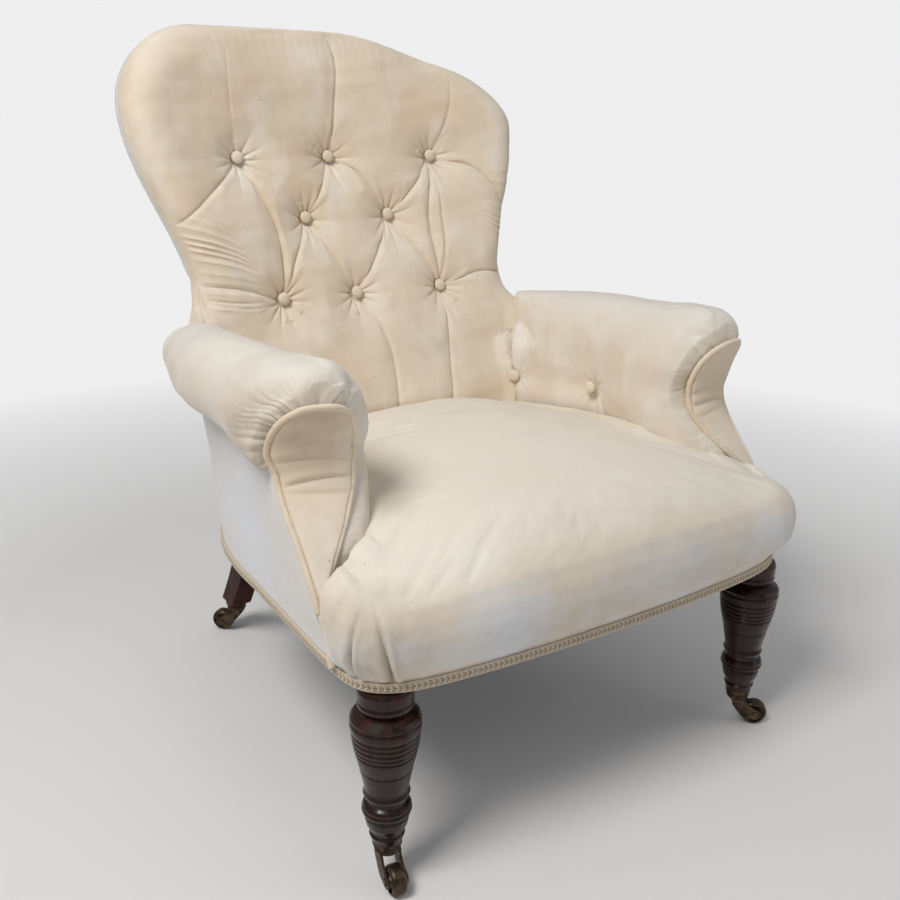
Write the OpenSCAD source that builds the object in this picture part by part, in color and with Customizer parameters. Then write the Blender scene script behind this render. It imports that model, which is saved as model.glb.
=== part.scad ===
// Button back armchair with scroll arms, a sprung seat, turned front legs and swivel castors.
// It faces -Y and stands on z = 0. All lengths are in millimetres.
// Every module is drawn with y measured from the axes of the front legs, and chair() moves it
// so that the middle of the overall depth lies on the origin.

/* [Seat frame] */
// Outside width of the covered seat frame at the front legs
seat_w = 608; // [580:2:620]
// How much narrower the covered seat frame is at its middle
side_taper = 28; // [18:2:38]
// Depth of the covered seat frame, front to back
seat_depth = 622; // [612:2:632]
// Distance from the front edge to where the sides turn in
seat_swell = 304; // [298:2:310]
// Distance from the front legs' axes to the front edge of the covered frame
front_reach = 44; // [42:1:46]
// Distance from the side of the covered frame in to a front leg's axis
leg_inset = 39; // [36:1:42]
// Height of the underside of the wooden rails above the floor
rail_z = 232; // [226:1:238]
// Height of the seat rails
rail_h = 66; // [60:1:68]
// Thickness of the seat rails
rail_t = 30; // [26:1:32]
// Bow of the front rail
front_bow = 20; // [12:1:24]

/* [Seat] */
// Height of the crown of the seat above the floor
seat_top = 395; // [388:1:402]
// How far the front of the seat bulges past its frame
seat_bulge = 17; // [8:1:20]
// Fall of the crown towards the arms
seat_side_fall = 46; // [38:1:50]
// Height of the springs' top turns above the rails' underside
spring_h = 88; // [84:1:92]
// Number of seat springs in each row
springs_across = 3; // [2:1:3]
// Number of rows of seat springs
spring_rows = 3; // [2:1:3]
// Thickness of the spring wire
wire_d = 4; // [3:0.5:5]
// Radius of a spring's end turns
spring_r = 42; // [36:1:46]
// Radius of a spring's narrow middle
spring_waist_r = 26; // [20:1:30]
// Number of turns in a spring
spring_turns = 4; // [3:1:5]

/* [Back] */
// Overall height of the chair
back_top = 868; // [850:2:890]
// Distance from the side of the seat frame in to the back's waist, just above the arms
waist_inset = 52; // [46:1:58]
// Distance that a shoulder of the back stands out past its waist
shoulder_flare = 61; // [52:1:68]
// Radius of the top corners of the back
corner_r = 110; // [96:2:120]
// Distance that the back leans for each unit of height
back_lean = 0.3; // [0.27:0.01:0.32]
// Distance that the rolled rim stands in front of the middle of the back
rim_r = 50; // [46:1:54]
// Depth of the buttons below the padding
tuft_depth = 30; // [20:1:34]
// Depth of the pleats between the buttons
pleat_depth = 15; // [6:1:18]
// Distance from the middle of the back to the buttons of the middle row
button_pitch = 66; // [60:2:70]
// Distance that the two buttons in the middle are sewn to one side
button_drift = 12; // [0:1:16]
// Diameter of a covered button
button_d = 17; // [14:1:18]

/* [Arms] */
// Distance from the side of the covered frame in to the axis of an arm's roll
arm_inset = 18; // [14:1:22]
// Height of the top of an arm's roll
arm_top = 522; // [516:1:528]
// Radius of an arm's roll
arm_r = 50; // [48:1:52]
// Distance from the axis of an arm's roll in to its padded inside, at the front
arm_padding = 42; // [40:1:46]
// Distance that the inside of an arm curves in towards the back
arm_inturn = 38; // [30:1:40]
// Thickness of the wooden arm rails and stumps
arm_wood_t = 27; // [22:1:28]
// Diameter of the piping round the facings
piping_d = 7; // [6:0.5:8]

/* [Front legs] */
// Largest diameter of the turned bulb
bulb_d = 72; // [68:1:74]
// Diameter of the leg at its lower end
ankle_d = 34; // [32:1:36]
// Width of the square block that the rails are joined to
block_w = 44; // [40:1:44]

/* [Back legs] */
// Distance from the back's waist in to the inside of a back leg's foot
foot_inset = 62; // [60:1:66]
// Distance that the foot stands behind the leg's narrowest point
back_foot_rake = 101; // [92:1:106]
// Thickness of the board that a back leg and its post are sawn from
post_t = 30; // [26:1:31]
// Depth of the post, front to back
post_d = 28; // [26:1:30]

/* [Castors] */
// Diameter of a castor wheel
wheel_d = 32; // [30:1:34]
// Width of a castor wheel
wheel_w = 16; // [14:1:18]
// Distance from the swivel axis to the wheel's axle
castor_trail = 23; // [22:1:26]
// Height of the castor from the floor to the leg's end
castor_h = 51; // [50:1:54]
// Diameter of the pin that the horn swivels on
pintle_d = 8; // [7:0.5:9]
// Diameter of the axle
axle_d = 5; // [4:0.5:6]
// Radial clearance of the running fits
running_gap = 0.06; // [0.05:0.01:0.09]
// Direction of the front left wheel from its leg
turn_front_left = -99; // [-180:1:180]
// Direction of the front right wheel from its leg
turn_front_right = -39; // [-180:1:180]
// Direction of the back left wheel from its leg
turn_back_left = 133; // [-180:1:180]
// Direction of the back right wheel from its leg
turn_back_right = 65; // [-180:1:180]

/* [Trim] */
// Height of the woven braid round the seat frame
braid_h = 11; // [8:1:14]
// Thickness of the braid
braid_t = 2.5; // [2:0.5:3]
// Width of the webbing straps
web_w = 50; // [44:1:54]
// Thickness of the webbing
web_t = 1.4; // [1:0.1:1.5]

/* [Hidden] */

gap = 0.3;                        // clearance between pieces that seat on each other
cloth = 3;                        // thickness of a cover with its lining
seat_mid_w = seat_w - side_taper;
leg_x = seat_w / 2 - leg_inset;
arm_x = seat_w / 2 - arm_inset;
arm_inside = arm_x - arm_padding;
waist_half = seat_mid_w / 2 - waist_inset;
shoulder_half = waist_half + shoulder_flare;
back_foot_x = waist_half - foot_inset;
lean_y = seat_depth - 150;        // distance of the back's leaning plane at a height of 340
pad_back = 8;                     // the pad's flat rear, behind that plane
frame_front = pad_back + 2 * gap;
cover_top = back_top - 16;        // the outside cover's upper edge
cover_room = 4;                   // the outside cover's distance behind the posts, at its sides
cover_bulge = 18;                 // how much farther it stands out in the middle
function mid(z) = lean_y + back_lean * (z - 340);
rail_top = rail_z + rail_h;
seat_mid_y = seat_swell - front_reach;
front_squareness = 10;            // exponent of the plan's front half
rear_squareness = 2.4;            // exponent of the plan's back half

velvet = [0.86, 0.78, 0.66];
velvet_shade = [0.80, 0.73, 0.63];
mahogany = [0.22, 0.09, 0.06];
beech = [0.72, 0.56, 0.38];
bronze = [0.24, 0.19, 0.14];
canvas_tan = [0.63, 0.54, 0.40];

module chair() translate([0, origin_y, 0]) children();
module both_sides(side) if (side > 0) children(); else mirror([1, 0, 0]) children();

function clamp(v) = min(1, max(0, v));
function smooth(v) = let (c = clamp(v)) c * c * (3 - 2 * c);
function mix(a, b, v) = a + (b - a) * v;
function unit(v) = v / norm(v);

// Plan of the covered seat frame: a bowed front, nearly straight sides and a rounded back.
// The angle runs from -90 at the middle of the front to 90 at the middle of the back.
function plan(a) = let (
        front = a < 0 || a > 180,
        e = front ? front_squareness : rear_squareness,
        reach = front ? seat_swell : seat_depth - seat_swell,
        r = pow(pow(abs(cos(a)) * 2 / seat_mid_w, e) + pow(abs(sin(a)) / reach, e), -1 / e),
        x = r * cos(a),
        forward = front ? -r * sin(a) / seat_swell : 0)
    [x * (1 + (seat_w / seat_mid_w - 1) * forward),
     seat_mid_y + r * sin(a) + front_bow * pow(2 * x / seat_w, 2) * pow(forward, 4)];
function plan_out(a) = let (t = plan(a + 0.1) - plan(a - 0.1)) unit([t[1], -t[0]]);
function plan_in(a, d) = plan(a) - plan_out(a) * d;
function plan_ring(d, steps = 144) = [for (i = [0:steps - 1]) plan_in(360 * i / steps, d)];
// Half the plan's width at a given distance behind the front legs
function plan_half(y) = let (
        t = y - seat_mid_y,
        back = pow(max(0, 1 - pow(max(0, t) / (seat_depth - seat_swell), rear_squareness)),
            1 / rear_squareness))
    t > 0 ? seat_mid_w / 2 * back : mix(seat_mid_w, seat_w, clamp(-t / seat_swell)) / 2;
module plan_band(outer, inner, z, h)
    translate([0, 0, z]) linear_extrude(h) difference() {
        polygon(plan_ring(outer));
        polygon(plan_ring(inner));
    }

// The closed surface of m rings of n points, with a point at each end
function dome_faces(n, m) = concat(
    [for (i = [0:n - 1]) [0, 1 + (i + 1) % n, 1 + i]],
    side_faces(n, m, 1),
    [for (i = [0:n - 1]) [1 + m * n, 1 + (m - 1) * n + i, 1 + (m - 1) * n + (i + 1) % n]]);
function side_faces(n, m, base) = [for (j = [0:m - 2]) for (i = [0:n - 1]) let (
        a = base + j * n + i,
        b = base + j * n + (i + 1) % n)
    each [[a, b, b + n], [a, b + n, a + n]]];
// The closed surface of m rings whose points pair off across the ring, like the rungs of a ladder
function ladder(n, base) = [for (i = [0:n / 2 - 2]) each [
    [base + n - 1 - i, base + n - 2 - i, base + i + 1],
    [base + n - 1 - i, base + i + 1, base + i]]];
function turned(faces) = [for (f = faces) [f[2], f[1], f[0]]];
function loft_faces(n, m) = concat(
    ladder(n, 0), side_faces(n, m, 0), turned(ladder(n, (m - 1) * n)));
module loft(rings) let (n = len(rings[0]))
    polyhedron([for (r = rings) each r], loft_faces(n, len(rings)));

// A round tube along a path, as rings of a few sides; up is any direction the path never takes
function tube_rings(path, r, sides, up) = [for (i = [0:len(path) - 1]) let (
        t = unit(path[min(i + 1, len(path) - 1)] - path[max(i - 1, 0)]),
        a = unit(cross(t, up)),
        b = cross(a, t))
    [for (k = [0:sides - 1]) path[i] + r * (cos(360 * k / sides) * a + sin(360 * k / sides) * b)]];
module tube(path, r, sides, up) loft(tube_rings(path, r, sides, up));

// Turned front leg: radius and height of each bead, groove and shoulder
bulb_r = bulb_d / 2;
ankle_r = ankle_d / 2;
leg_profile = [
    [0, castor_h], [ankle_r - 1, castor_h], [ankle_r, castor_h + 4], [ankle_r + 1.5, castor_h + 8],
    [ankle_r, castor_h + 10], [18.5, 66], [21.5, 72], [23, 80], [22, 83], [25, 86], [25.8, 89],
    [24.6, 91.5], [25.2, 94], [23.5, 97], [20.5, 99], [20, 103], [23, 105.5], [24.2, 109],
    [23, 112], [22.4, 114], [24.4, 124], [27, 137], [26.6, 138], [27.2, 139],
    [30.5, 152], [31.3, 156], [30.6, 157.5], [32, 159], [32.6, 161.5], [31.8, 162.5],
    [33, 164], [33.6, 167], [32.8, 168.2], [34, 170], [34.4, 173], [33.6, 174.2],
    [bulb_r - 1.4, 176], [bulb_r - 1.2, 179], [bulb_r - 2, 180.2], [bulb_r - 0.8, 182],
    [bulb_r, 186], [bulb_r, 190], [bulb_r - 1.2, 192], [bulb_r, 194], [bulb_r - 0.6, 197],
    [bulb_r - 3, 200], [28, 203], [24.5, 205], [25.5, 208], [28.3, 210], [28.6, 213],
    [27.6, 215], [28.6, 217], [28.8, rail_z - 4], [27, rail_z], [0, rail_z]];
stem_d = 8;                       // the castor's stem, driven up into the leg
stem_l = 30;

module front_leg(side) color(mahogany) both_sides(side) difference() {
    union() {
        translate([leg_x, 0, 0]) rotate_extrude($fn = 64) polygon(leg_profile);
        intersection() {
            translate([leg_x - block_w / 2, -block_w / 2, rail_z]) cube([block_w, block_w, rail_h]);
            translate([0, 0, rail_z]) linear_extrude(rail_h) polygon(plan_ring(cloth + 6 * gap));
        }
    }
    translate([leg_x, 0, castor_h - 1]) cylinder(d = stem_d, h = stem_l + 1, $fn = 32);
}

// The middle of the padded back, from which the frame and the padding are set off
pad_foot = rail_z + 98;           // height of the pad's lower edge
post_top = back_top - 93;
waist_z = 510;

// Back leg and post: the middle of its depth at each height, and half its depth
leg_setting = 38.8;               // from the rear outline of the covered frame in to a back leg's middle
knee_y = outline_y(back_foot_x + post_t / 2) - leg_setting;
foot_half = 20;                   // half the depth of the leg at the floor
function post_y(z) = z < rail_top ?
        knee_y + back_foot_rake * pow(clamp((rail_z - z) / (rail_z - castor_h)), 1.35)
    : mix(knee_y, mid(z) + frame_front + post_d / 2, smooth((z - rail_top) / 130));
function post_half(z) = z < rail_top ? mix(post_d / 2 + 3, foot_half, (rail_top - z) / rail_top) :
    mix(post_d / 2 + 3, post_d / 2, smooth((z - rail_top) / 60));
post_heights = concat([for (i = [0:10]) mix(castor_h, rail_z, i / 10)],
    [for (i = [0:8]) mix(rail_z + 8, 440, i / 8)], [post_top]);
post_splay = 1.2;                 // outward tilt of the board, in degrees
foot_mid = back_foot_x + post_t / 2;

module back_leg_solid(side) both_sides(side) intersection() {
    translate([back_foot_x, 0, castor_h]) rotate([0, post_splay, 0])
        translate([0, 0, -castor_h]) rotate([90, 0, 90]) linear_extrude(post_t)
            polygon(concat([for (z = post_heights) [post_y(z) - post_half(z), z]],
                [for (i = [len(post_heights) - 1:-1:0]) let (z = post_heights[i])
                    [post_y(z) + post_half(z), z]]));
    translate([0, 0, castor_h]) linear_extrude(post_top - castor_h - 2)
        square([seat_w, 2 * seat_depth]);
}
module back_leg(side) color(mahogany) difference() {
    back_leg_solid(side);
    both_sides(side) translate([foot_mid, post_y(castor_h), castor_h - 1])
        cylinder(d = stem_d, h = stem_l + 1, $fn = 32);
}

// Seat rails
rail_out = cloth + 2 * gap;       // the rails' outer faces, inside the cover
rail_in = rail_out + rail_t;
module front_rail() color(beech) intersection() {
    plan_band(rail_out, rail_in, rail_z, rail_h);
    translate([-leg_x + block_w / 2, -front_reach, rail_z])
        cube([2 * leg_x - block_w, 2 * front_reach, rail_h]);
}
module side_rail(side) color(beech) difference() {
    both_sides(side) intersection() {
        plan_band(rail_out, rail_in, rail_z, rail_h);
        translate([back_foot_x + post_t, block_w / 2, rail_z])
            cube([seat_w, knee_y + 8 - block_w / 2, rail_h]);
    }
    back_leg_solid(side);
}
module back_rail() color(beech) difference() {
    intersection() {
        plan_band(rail_out + 5 * gap, rail_in, rail_z, rail_h);
        translate([-back_foot_x - post_t / 2, seat_mid_y, rail_z])
            cube([2 * back_foot_x + post_t, seat_depth, rail_h]);
    }
    back_leg_solid(1);
    back_leg_solid(-1);
}
block_top = rail_top - 8;
module corner_blocks() color(beech)
    for (side = [-1, 1]) both_sides(side) {
        translate([0, 0, rail_z + 6]) linear_extrude(block_top - rail_z - 6) difference() {
            intersection() {
                polygon(plan_ring(rail_in + gap));
                polygon([[leg_x - 88, -front_reach], [leg_x + block_w, -front_reach],
                    [leg_x + block_w, 96]]);
            }
            translate([leg_x - block_w / 2 - gap, -block_w / 2 - gap]) square(block_w + 2 * gap);
        }
        translate([0, 0, rail_z + 6]) linear_extrude(block_top - rail_z - 6) intersection() {
            polygon(plan_ring(rail_in + gap));
            polygon([[back_foot_x - 60, seat_depth], [back_foot_x - 60, knee_y - 20],
                [back_foot_x - 4, knee_y - 20], [back_foot_x - 4, seat_depth]]);
        }
    }

// Facing of an arm: its surface, set back at the waist and swept forward at its foot
facing_y = 111;                   // the deepest point of the facing's hollow
head_z = 440;                     // where the facing's round head begins
facing_waist = head_z - 15;
facing_top = 491;
facing_tip = 297;
facing_mid = arm_x;
facing_turn = 0.2;                // outward turn of the facing for each unit of width
facing_t = 8;
function facing(x, z) = facing_turn * (x - facing_mid) + (z > facing_waist ?
    facing_y - 32 * pow((z - facing_waist) / (facing_top - facing_waist), 2) :
    facing_y - 38 * (1 - cos(180 * clamp((facing_waist - z) / (facing_waist - facing_tip)))));
// Heights on the facing's edges, and their distance from its middle
inner_edge = [[facing_tip, 22], [321, 7], [345, -15], [370, -31], [400, -42], [440, -46]];
outer_edge = [[facing_tip, 26], [326, 29], [358, 29], [418, 30], [440, 39]];
function head_half(z) = pow(clamp(1 - pow(clamp((z - head_z) / (facing_top - head_z)), 2.5)), 0.4);
function facing_in(z) = facing_mid + (z < head_z ? lookup(z, inner_edge) : inner_edge[5][1] * head_half(z));
function facing_out(z) = facing_mid + (z < head_z ? lookup(z, outer_edge) : outer_edge[4][1] * head_half(z));

stump_d = 34;
stump_top = 424;
rail_arm_z = 396;                 // underside of the arm rails
wood_in = rail_out + arm_wood_t;
stump_step = facing_t + 28;       // the stump's distance behind the facing
module arm_stump_solid(side) both_sides(side) let (zs = [for (i = [0:9]) mix(rail_top, stump_top, i / 9)])
    translate([plan_half(facing_y) - wood_in, 0, 0]) rotate([90, 0, 90]) linear_extrude(arm_wood_t)
        polygon(concat([for (z = zs) [facing(facing_mid, z) + stump_step, z]],
            [for (i = [9:-1:0]) [facing(facing_mid, zs[i]) + stump_step + stump_d, zs[i]]]));
module arm_stump(side) color(beech) arm_stump_solid(side);
module arm_rail(side) color(beech) difference() {
    both_sides(side) intersection() {
        plan_band(rail_out, wood_in, rail_arm_z, stump_top - rail_arm_z);
        translate([back_foot_x + post_t + (rail_arm_z - castor_h) * tan(post_splay) - 0.5,
                facing_y + stump_step + stump_d / 2, rail_arm_z])
            cube([seat_w, seat_depth, rail_h]);
    }
    back_leg_solid(side);
    arm_stump_solid(side);
}

// Inside padding and roll of an arm, lofted from the facing to the mitre with the back
mitre_reach = lean_y - 4 - seat_w / 2;
function mitre(x, z) = x + mitre_reach + 0.134 * z;
stations = [0, 0.03, 0.07, 0.12, 0.22, 0.36, 0.5, 0.63, 0.76, 0.88, 1];
hessian_top = rail_z + spring_h + 1.4;
pad_low = hessian_top + 2;        // the arm pad's lower edge, behind the stump
under_roll = stump_top + gap;
levels = [facing_tip + 5, 321, 345, 370, 400, under_roll, under_roll + gap, 441, 455, 468, 479, 487, 490.5];
arm_button = [0.5, 397];          // share of the way back along the arm, and height
stump_share = 0.07;               // where the padding has drawn in past the stump
function roll_top(s) = s < 0.2 ? mix(facing_top, arm_top, pow(sin(90 * s / 0.2), 0.7)) :
    arm_top - 20 * pow(clamp((s - 0.4) / 0.6), 1.6);
function roll_r(s) = mix(mix(44, arm_r, smooth(s / 0.15)), arm_r - 7, smooth((s - 0.6) / 0.4));
function roll_x(s) = arm_x - 38 * pow(clamp((s - 0.5) / 0.5), 1.3);
function inside(s) = arm_inside - arm_inturn * pow(s, 2.6);
function level(z, s) = z > head_z ? head_z + (z - head_z) * (roll_top(s) - head_z) / (facing_top - head_z) :
    z < 330 ? mix(z, pad_low + (z - levels[0]) * 0.4, smooth(s / stump_share)) : z;
function roll_half(z, s) = let (r = roll_r(s), c = roll_top(s) - r)
    r * sqrt(clamp(1 - pow((z - c) / r, 2)));
function pad_tuck(s, z) = 9 * clamp(1 - norm([(s - arm_button[0]) * 330, z - arm_button[1]]) / 50);
// The padding swells in behind the facing, thins out towards the back and ends on the back's seam
function swell(z, s) = (5 + 14 * (1 - smooth((s - 0.2) / 0.6))) * sin(180 * clamp((z - 345) / 145));
function arm_wall(z, s) = mix(facing_in(min(z, facing_top - 0.5)) + 1,
    mix(inside(s), roll_x(s) - roll_half(z, s), smooth((z - 410) / 60)) - swell(z, s), smooth(s / 0.09));
function arm_in(z, s) = mix(arm_wall(z, s) + pad_tuck(s, z), max(inside(s), seam(z) - 1),
    smooth((s - 0.7) / 0.3) * smooth((z - 385) / 25));
function arm_out(z, s) = z <= under_roll ?
    mix(max(facing_in(z) + 3, facing_out(z) - 4), min(facing_out(z) - 4,
        plan_half(mix(facing_y + facing_t, lean_y - 6, s))
        - wood_in * (1 + 0.16 * smooth((s - 0.5) / 0.5)) - 2 * gap), smooth(s / stump_share))
    : mix(facing_out(min(z, facing_top - 0.5)) - 1, roll_x(s) + roll_half(z, s), smooth(s / 0.12));
function arm_point(x, z, s) = [x, mix(facing(x, z) + facing_t + 3 * gap, mitre(x, z) - gap, s), z];
function arm_ring(s) = concat(
    [for (z = levels) let (h = level(z, s)) arm_point(max(arm_out(h, s), arm_in(h, s) + 3), h, s)],
    [for (i = [len(levels) - 1:-1:0]) let (h = level(levels[i], s)) arm_point(arm_in(h, s), h, s)]);
module arm_pad(side) color(velvet) both_sides(side) loft([for (s = stations) arm_ring(s)]);

// Padded facing, with its edge inside the piping
facing_levels = [300, 310, 321, 345, 370, 400, 425, 441, 455, 468, 478, 485];
pipe_r = piping_d / 2;
function facing_ring(back, shrink) = let (
        n = len(facing_levels),
        edge = function (z, out) let (
            m = (facing_in(z) + facing_out(z)) / 2,
            e = (out ? facing_out(z) - pipe_r - 4 * gap : facing_in(z) + pipe_r + 4 * gap))
            mix(out ? max(e, m + 0.4) : min(e, m - 0.4), m, shrink))
    concat([for (z = facing_levels) let (x = edge(z, true)) [x, facing(x, z) + back, z]],
        [for (i = [n - 1:-1:0]) let (z = facing_levels[i], x = edge(z, false))
            [x, facing(x, z) + back, z]]);
module arm_facing(side) color(velvet_shade) both_sides(side)
    loft([facing_ring(-3, 0.55), facing_ring(0, 0.15), facing_ring(facing_t, 0)]);

// Piping: up the outer edge of the facing, over its head and down the inner edge
pipe_levels = [299, 312, 326, 342, 358, 374, 390, 406, 422, 438, 451, 463, 473, 481, 487];
function pipe_point(x, z) = [x, facing(x, z) + facing_t - pipe_r - gap, z];
pipe_path = concat([for (z = pipe_levels) pipe_point(facing_out(z), z)],
    [pipe_point(facing_mid + 14, facing_top - 1), pipe_point(facing_mid, facing_top),
     pipe_point(facing_mid - 14, facing_top - 1)],
    [for (i = [len(pipe_levels) - 1:-1:2]) let (z = pipe_levels[i]) pipe_point(facing_in(z), z)]);
module arm_piping(side) color(velvet_shade) both_sides(side) tube(pipe_path, pipe_r, 6, [0, -1, 0.2]);

// Outside panel of an arm, from the braid up to the underside of the roll. Its front edge follows
// the hollow of the facing, and it swells out there to meet the piping
panel_top = under_roll - gap;
panel_swell = 6;                  // how far the panel stands out at its upper edge
rear_swell = 7;                   // how much farther it does so towards the back
panel_steps = 15;
braid_top = rail_z + gap + braid_h;
corner_seam = 37;                 // where the front corner's seam runs, below the facing's tip
panel_levels = [rail_z + gap, braid_top + 1, 264, 283, facing_tip, 314, 335, 362, 390, 410, panel_top];
function panel_front_y(z) = let (h = max(z, facing_tip), y = facing(facing_out(h), h) + facing_t + gap)
    mix(corner_seam + 1, y, smooth((z - 262) / (facing_tip - 262)));
function panel_out(z, t) = let (
        rise = clamp((z - braid_top - 1) / (panel_top - braid_top)),
        h = max(z, facing_tip))
    mix((facing_out(h) + 1 - plan_half(panel_front_y(h)))
            * smooth((z - braid_top) / (facing_tip - braid_top)),
        panel_swell * rise, smooth(t / 0.4)) + rear_swell * rise * smooth((t - 0.5) / 0.35);
// The rear edge leans back with the post, up to the outside cover of the back
function panel_rear(z) = let (x = cover_half(z) + 4 * gap) atan2(outline_y(x) - seat_mid_y, x);
function panel_lag(z) = max(0, cover_y(cover_half(z), z) - cloth - outline_y(cover_half(z)) - 1);
function panel_point(z, t, depth) = let (
        front = -atan2(seat_mid_y - panel_front_y(z), seat_mid_w / 2),
        p = plan_in(mix(front, panel_rear(z), t), depth - panel_out(z, t)))
    [p[0], p[1] + panel_lag(z) * smooth((t - 0.55) / 0.45), z];
module outside_arm(side) color(velvet) both_sides(side) loft([
    for (i = [0:panel_steps]) let (t = i / panel_steps)
    concat([for (z = panel_levels) panel_point(z, t, 0)],
        [for (k = [len(panel_levels) - 1:-1:0]) panel_point(panel_levels[k], t, cloth)])]);

// Padded back
columns = [0, 22, 44, 66, 86, 106, 126, 153];
edge_shares = [0.36, 0.66, 0.79, 0.9, 0.974, 1];
back_crown = 4;                   // the arch of the top edge
settled = 42;                     // how far the stuffing has sunk at the right shoulder
rim_top = back_top - back_crown;
corner_z = rim_top - corner_r;
low_row_z = 514;
row_shares = [0, 0.29, 0.52];     // share of the way from the lowest buttons to the top edge
rows = concat([pad_foot, 372, 427, 466], [for (v = [0, 0.1, 0.19, row_shares[1], 0.37, 0.45, row_shares[2],
    0.61, 0.71, 0.79, 0.86, 0.91, 0.957, 0.988, 1]) mix(low_row_z, rim_top, v)]);
// Heights on the padding's middle and on its edge, and how far they stand before the leaning plane;
// above the lowest buttons the heights are shares of the way to the top edge
centre_line = concat([[pad_foot, 49], [372, 58.6], [450, 45]],
    [for (p = [[0.032, 32.5], [0.289, 16.5], [0.531, 8], [0.703, 9], [0.817, 11], [1, 4.2]])
        [mix(low_row_z, rim_top, p[0]), p[1]]]);
edge_line = concat([[pad_foot, 63], [388, 58.4], [440, 44], [490, 40]],
    [for (p = [[0.026, 44.9], [0.674, 50], [1, 47.2]]) [mix(low_row_z, rim_top, p[0]), p[1]]]);
row_z = [for (v = row_shares) mix(low_row_z, rim_top, v)];   // heights of the three rows of buttons
low_x = 126;
high_x = 153;
buttons = [[-high_x, row_z[2]], [-button_drift, row_z[2]], [high_x, row_z[2]], [-button_pitch, row_z[1]],
    [button_pitch, row_z[1]], [-low_x, row_z[0]], [-button_drift, row_z[0]], [low_x, row_z[0]]];
// Each pleat runs between two buttons, or from a button to the edge of the padding
pleats = concat([for (p = [[1, 3], [1, 4], [0, 3], [2, 4], [3, 5], [3, 6], [4, 6], [4, 7]])
        [buttons[p[0]], buttons[p[1]]]],
    [[buttons[6], [0, pad_foot]], [buttons[5], [-low_x, pad_foot]], [buttons[7], [low_x, pad_foot]],
     [buttons[1], [0, rim_top - rim_r]], [buttons[0], [-high_x, rim_top - rim_r]],
     [buttons[2], [high_x, rim_top - rim_r]], [buttons[0], [-shoulder_half, row_z[1]]],
     [buttons[2], [shoulder_half, row_z[1]]]]);
bow_half = waist_half - 8;        // half the width over which the top edge is bowed

// Half width of the pad on the mitre with the arm, kept clear of the arm's wooden rail
function mitre_x(y, z) = min(y - mitre_reach - 0.134 * z,
    mix(waist_half - 28, waist_half + 26, smooth((z - 430) / 34)));
function seam(z) = mitre_x(mid(z) - lookup(z, edge_line), z);
function back_half(z) = z > corner_z ?
        shoulder_half - corner_r + sqrt(max(0, pow(corner_r, 2) - pow(z - corner_z, 2))) :
    let (upper = mix(waist_half, shoulder_half,
            (1 - cos(180 * clamp((z - waist_z) / (corner_z - waist_z)))) / 2))
    mix(seam(z), upper, smooth((z - 478) / 42));
function edge_distance(x, z) = let (corner = shoulder_half - corner_r)
    abs(x) > corner && z > corner_z ? corner_r - norm([abs(x) - corner, z - corner_z]) :
    min(back_half(z) - abs(x), rim_top - z);
function segment_distance(p, s) = let (d = s[1] - s[0], t = clamp((p - s[0]) * d / (d * d)))
    norm(p - s[0] - t * d);
function tuck(x, z) = max(concat(
    [for (b = buttons) tuft_depth * pow(clamp(1 - norm([x, z] - b) / 60), 1.4)],
    [for (s = pleats) pleat_depth * clamp(1 - segment_distance([x, z], s) / 18)]));
function padded(x, z) = mid(z) + tuck(x, z)
    - mix(lookup(z, centre_line), lookup(z, edge_line), pow(abs(x) / back_half(z), 2));
function rimmed(z) = smooth((z - 478) / 60);
function round_off(d) = let (c = clamp(d / rim_r)) sqrt(1 - pow(1 - c, 2));
function pad_front_y(x, z) = let (y = padded(x, z))
    mix(y, mix(mid(z), y, round_off(edge_distance(x, z))), rimmed(z));
function crowned(x, z) = z + back_crown * (1 - pow(x / shoulder_half, 2)) * smooth((z - corner_z) / corner_r)
    - settled * pow(smooth(x / bow_half), 1.3) * smooth((z - row_z[2]) / (rim_top - row_z[2]));
function column_x(i, z) = let (k = abs(i), last = len(columns) - 1, x = k <= last ? columns[k] :
        mix(columns[last], back_half(z), edge_shares[k - last - 1]))
    i == 0 ? -button_drift : sign(i) * x;
side_columns = len(columns) + len(edge_shares) - 1;
across = 2 * side_columns;
up = len(rows) - 1;
function settle(p) = let (z = crowned(p[0], p[2])) [p[0], p[1] + mid(z) - mid(p[2]), z];
function pad_point(i, j) = let (z = rows[j], x = column_x(i - side_columns, z))
    settle([x, pad_front_y(x, z), z]);
function grid_index(i, j) = j * (across + 1) + i;
// Points of the grid's border, anticlockwise from the lower left, as seen from the front
border = concat([for (i = [0:across - 1]) [i, 0]], [for (j = [0:up - 1]) [across, j]],
    [for (i = [across:-1:1]) [i, up]], [for (j = [up:-1:1]) [0, j]]);
pocket = 17;                      // how far the padding wraps round the edge of the frame
pocket_z = 570;                   // height of the hollow that the tufts reach into, between the posts
pocket_rise = (post_top - 11 - pocket_z) / (rim_top - pocket_z);     // keeps it below the crest rail
pocket_fall = 0.8;
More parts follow.
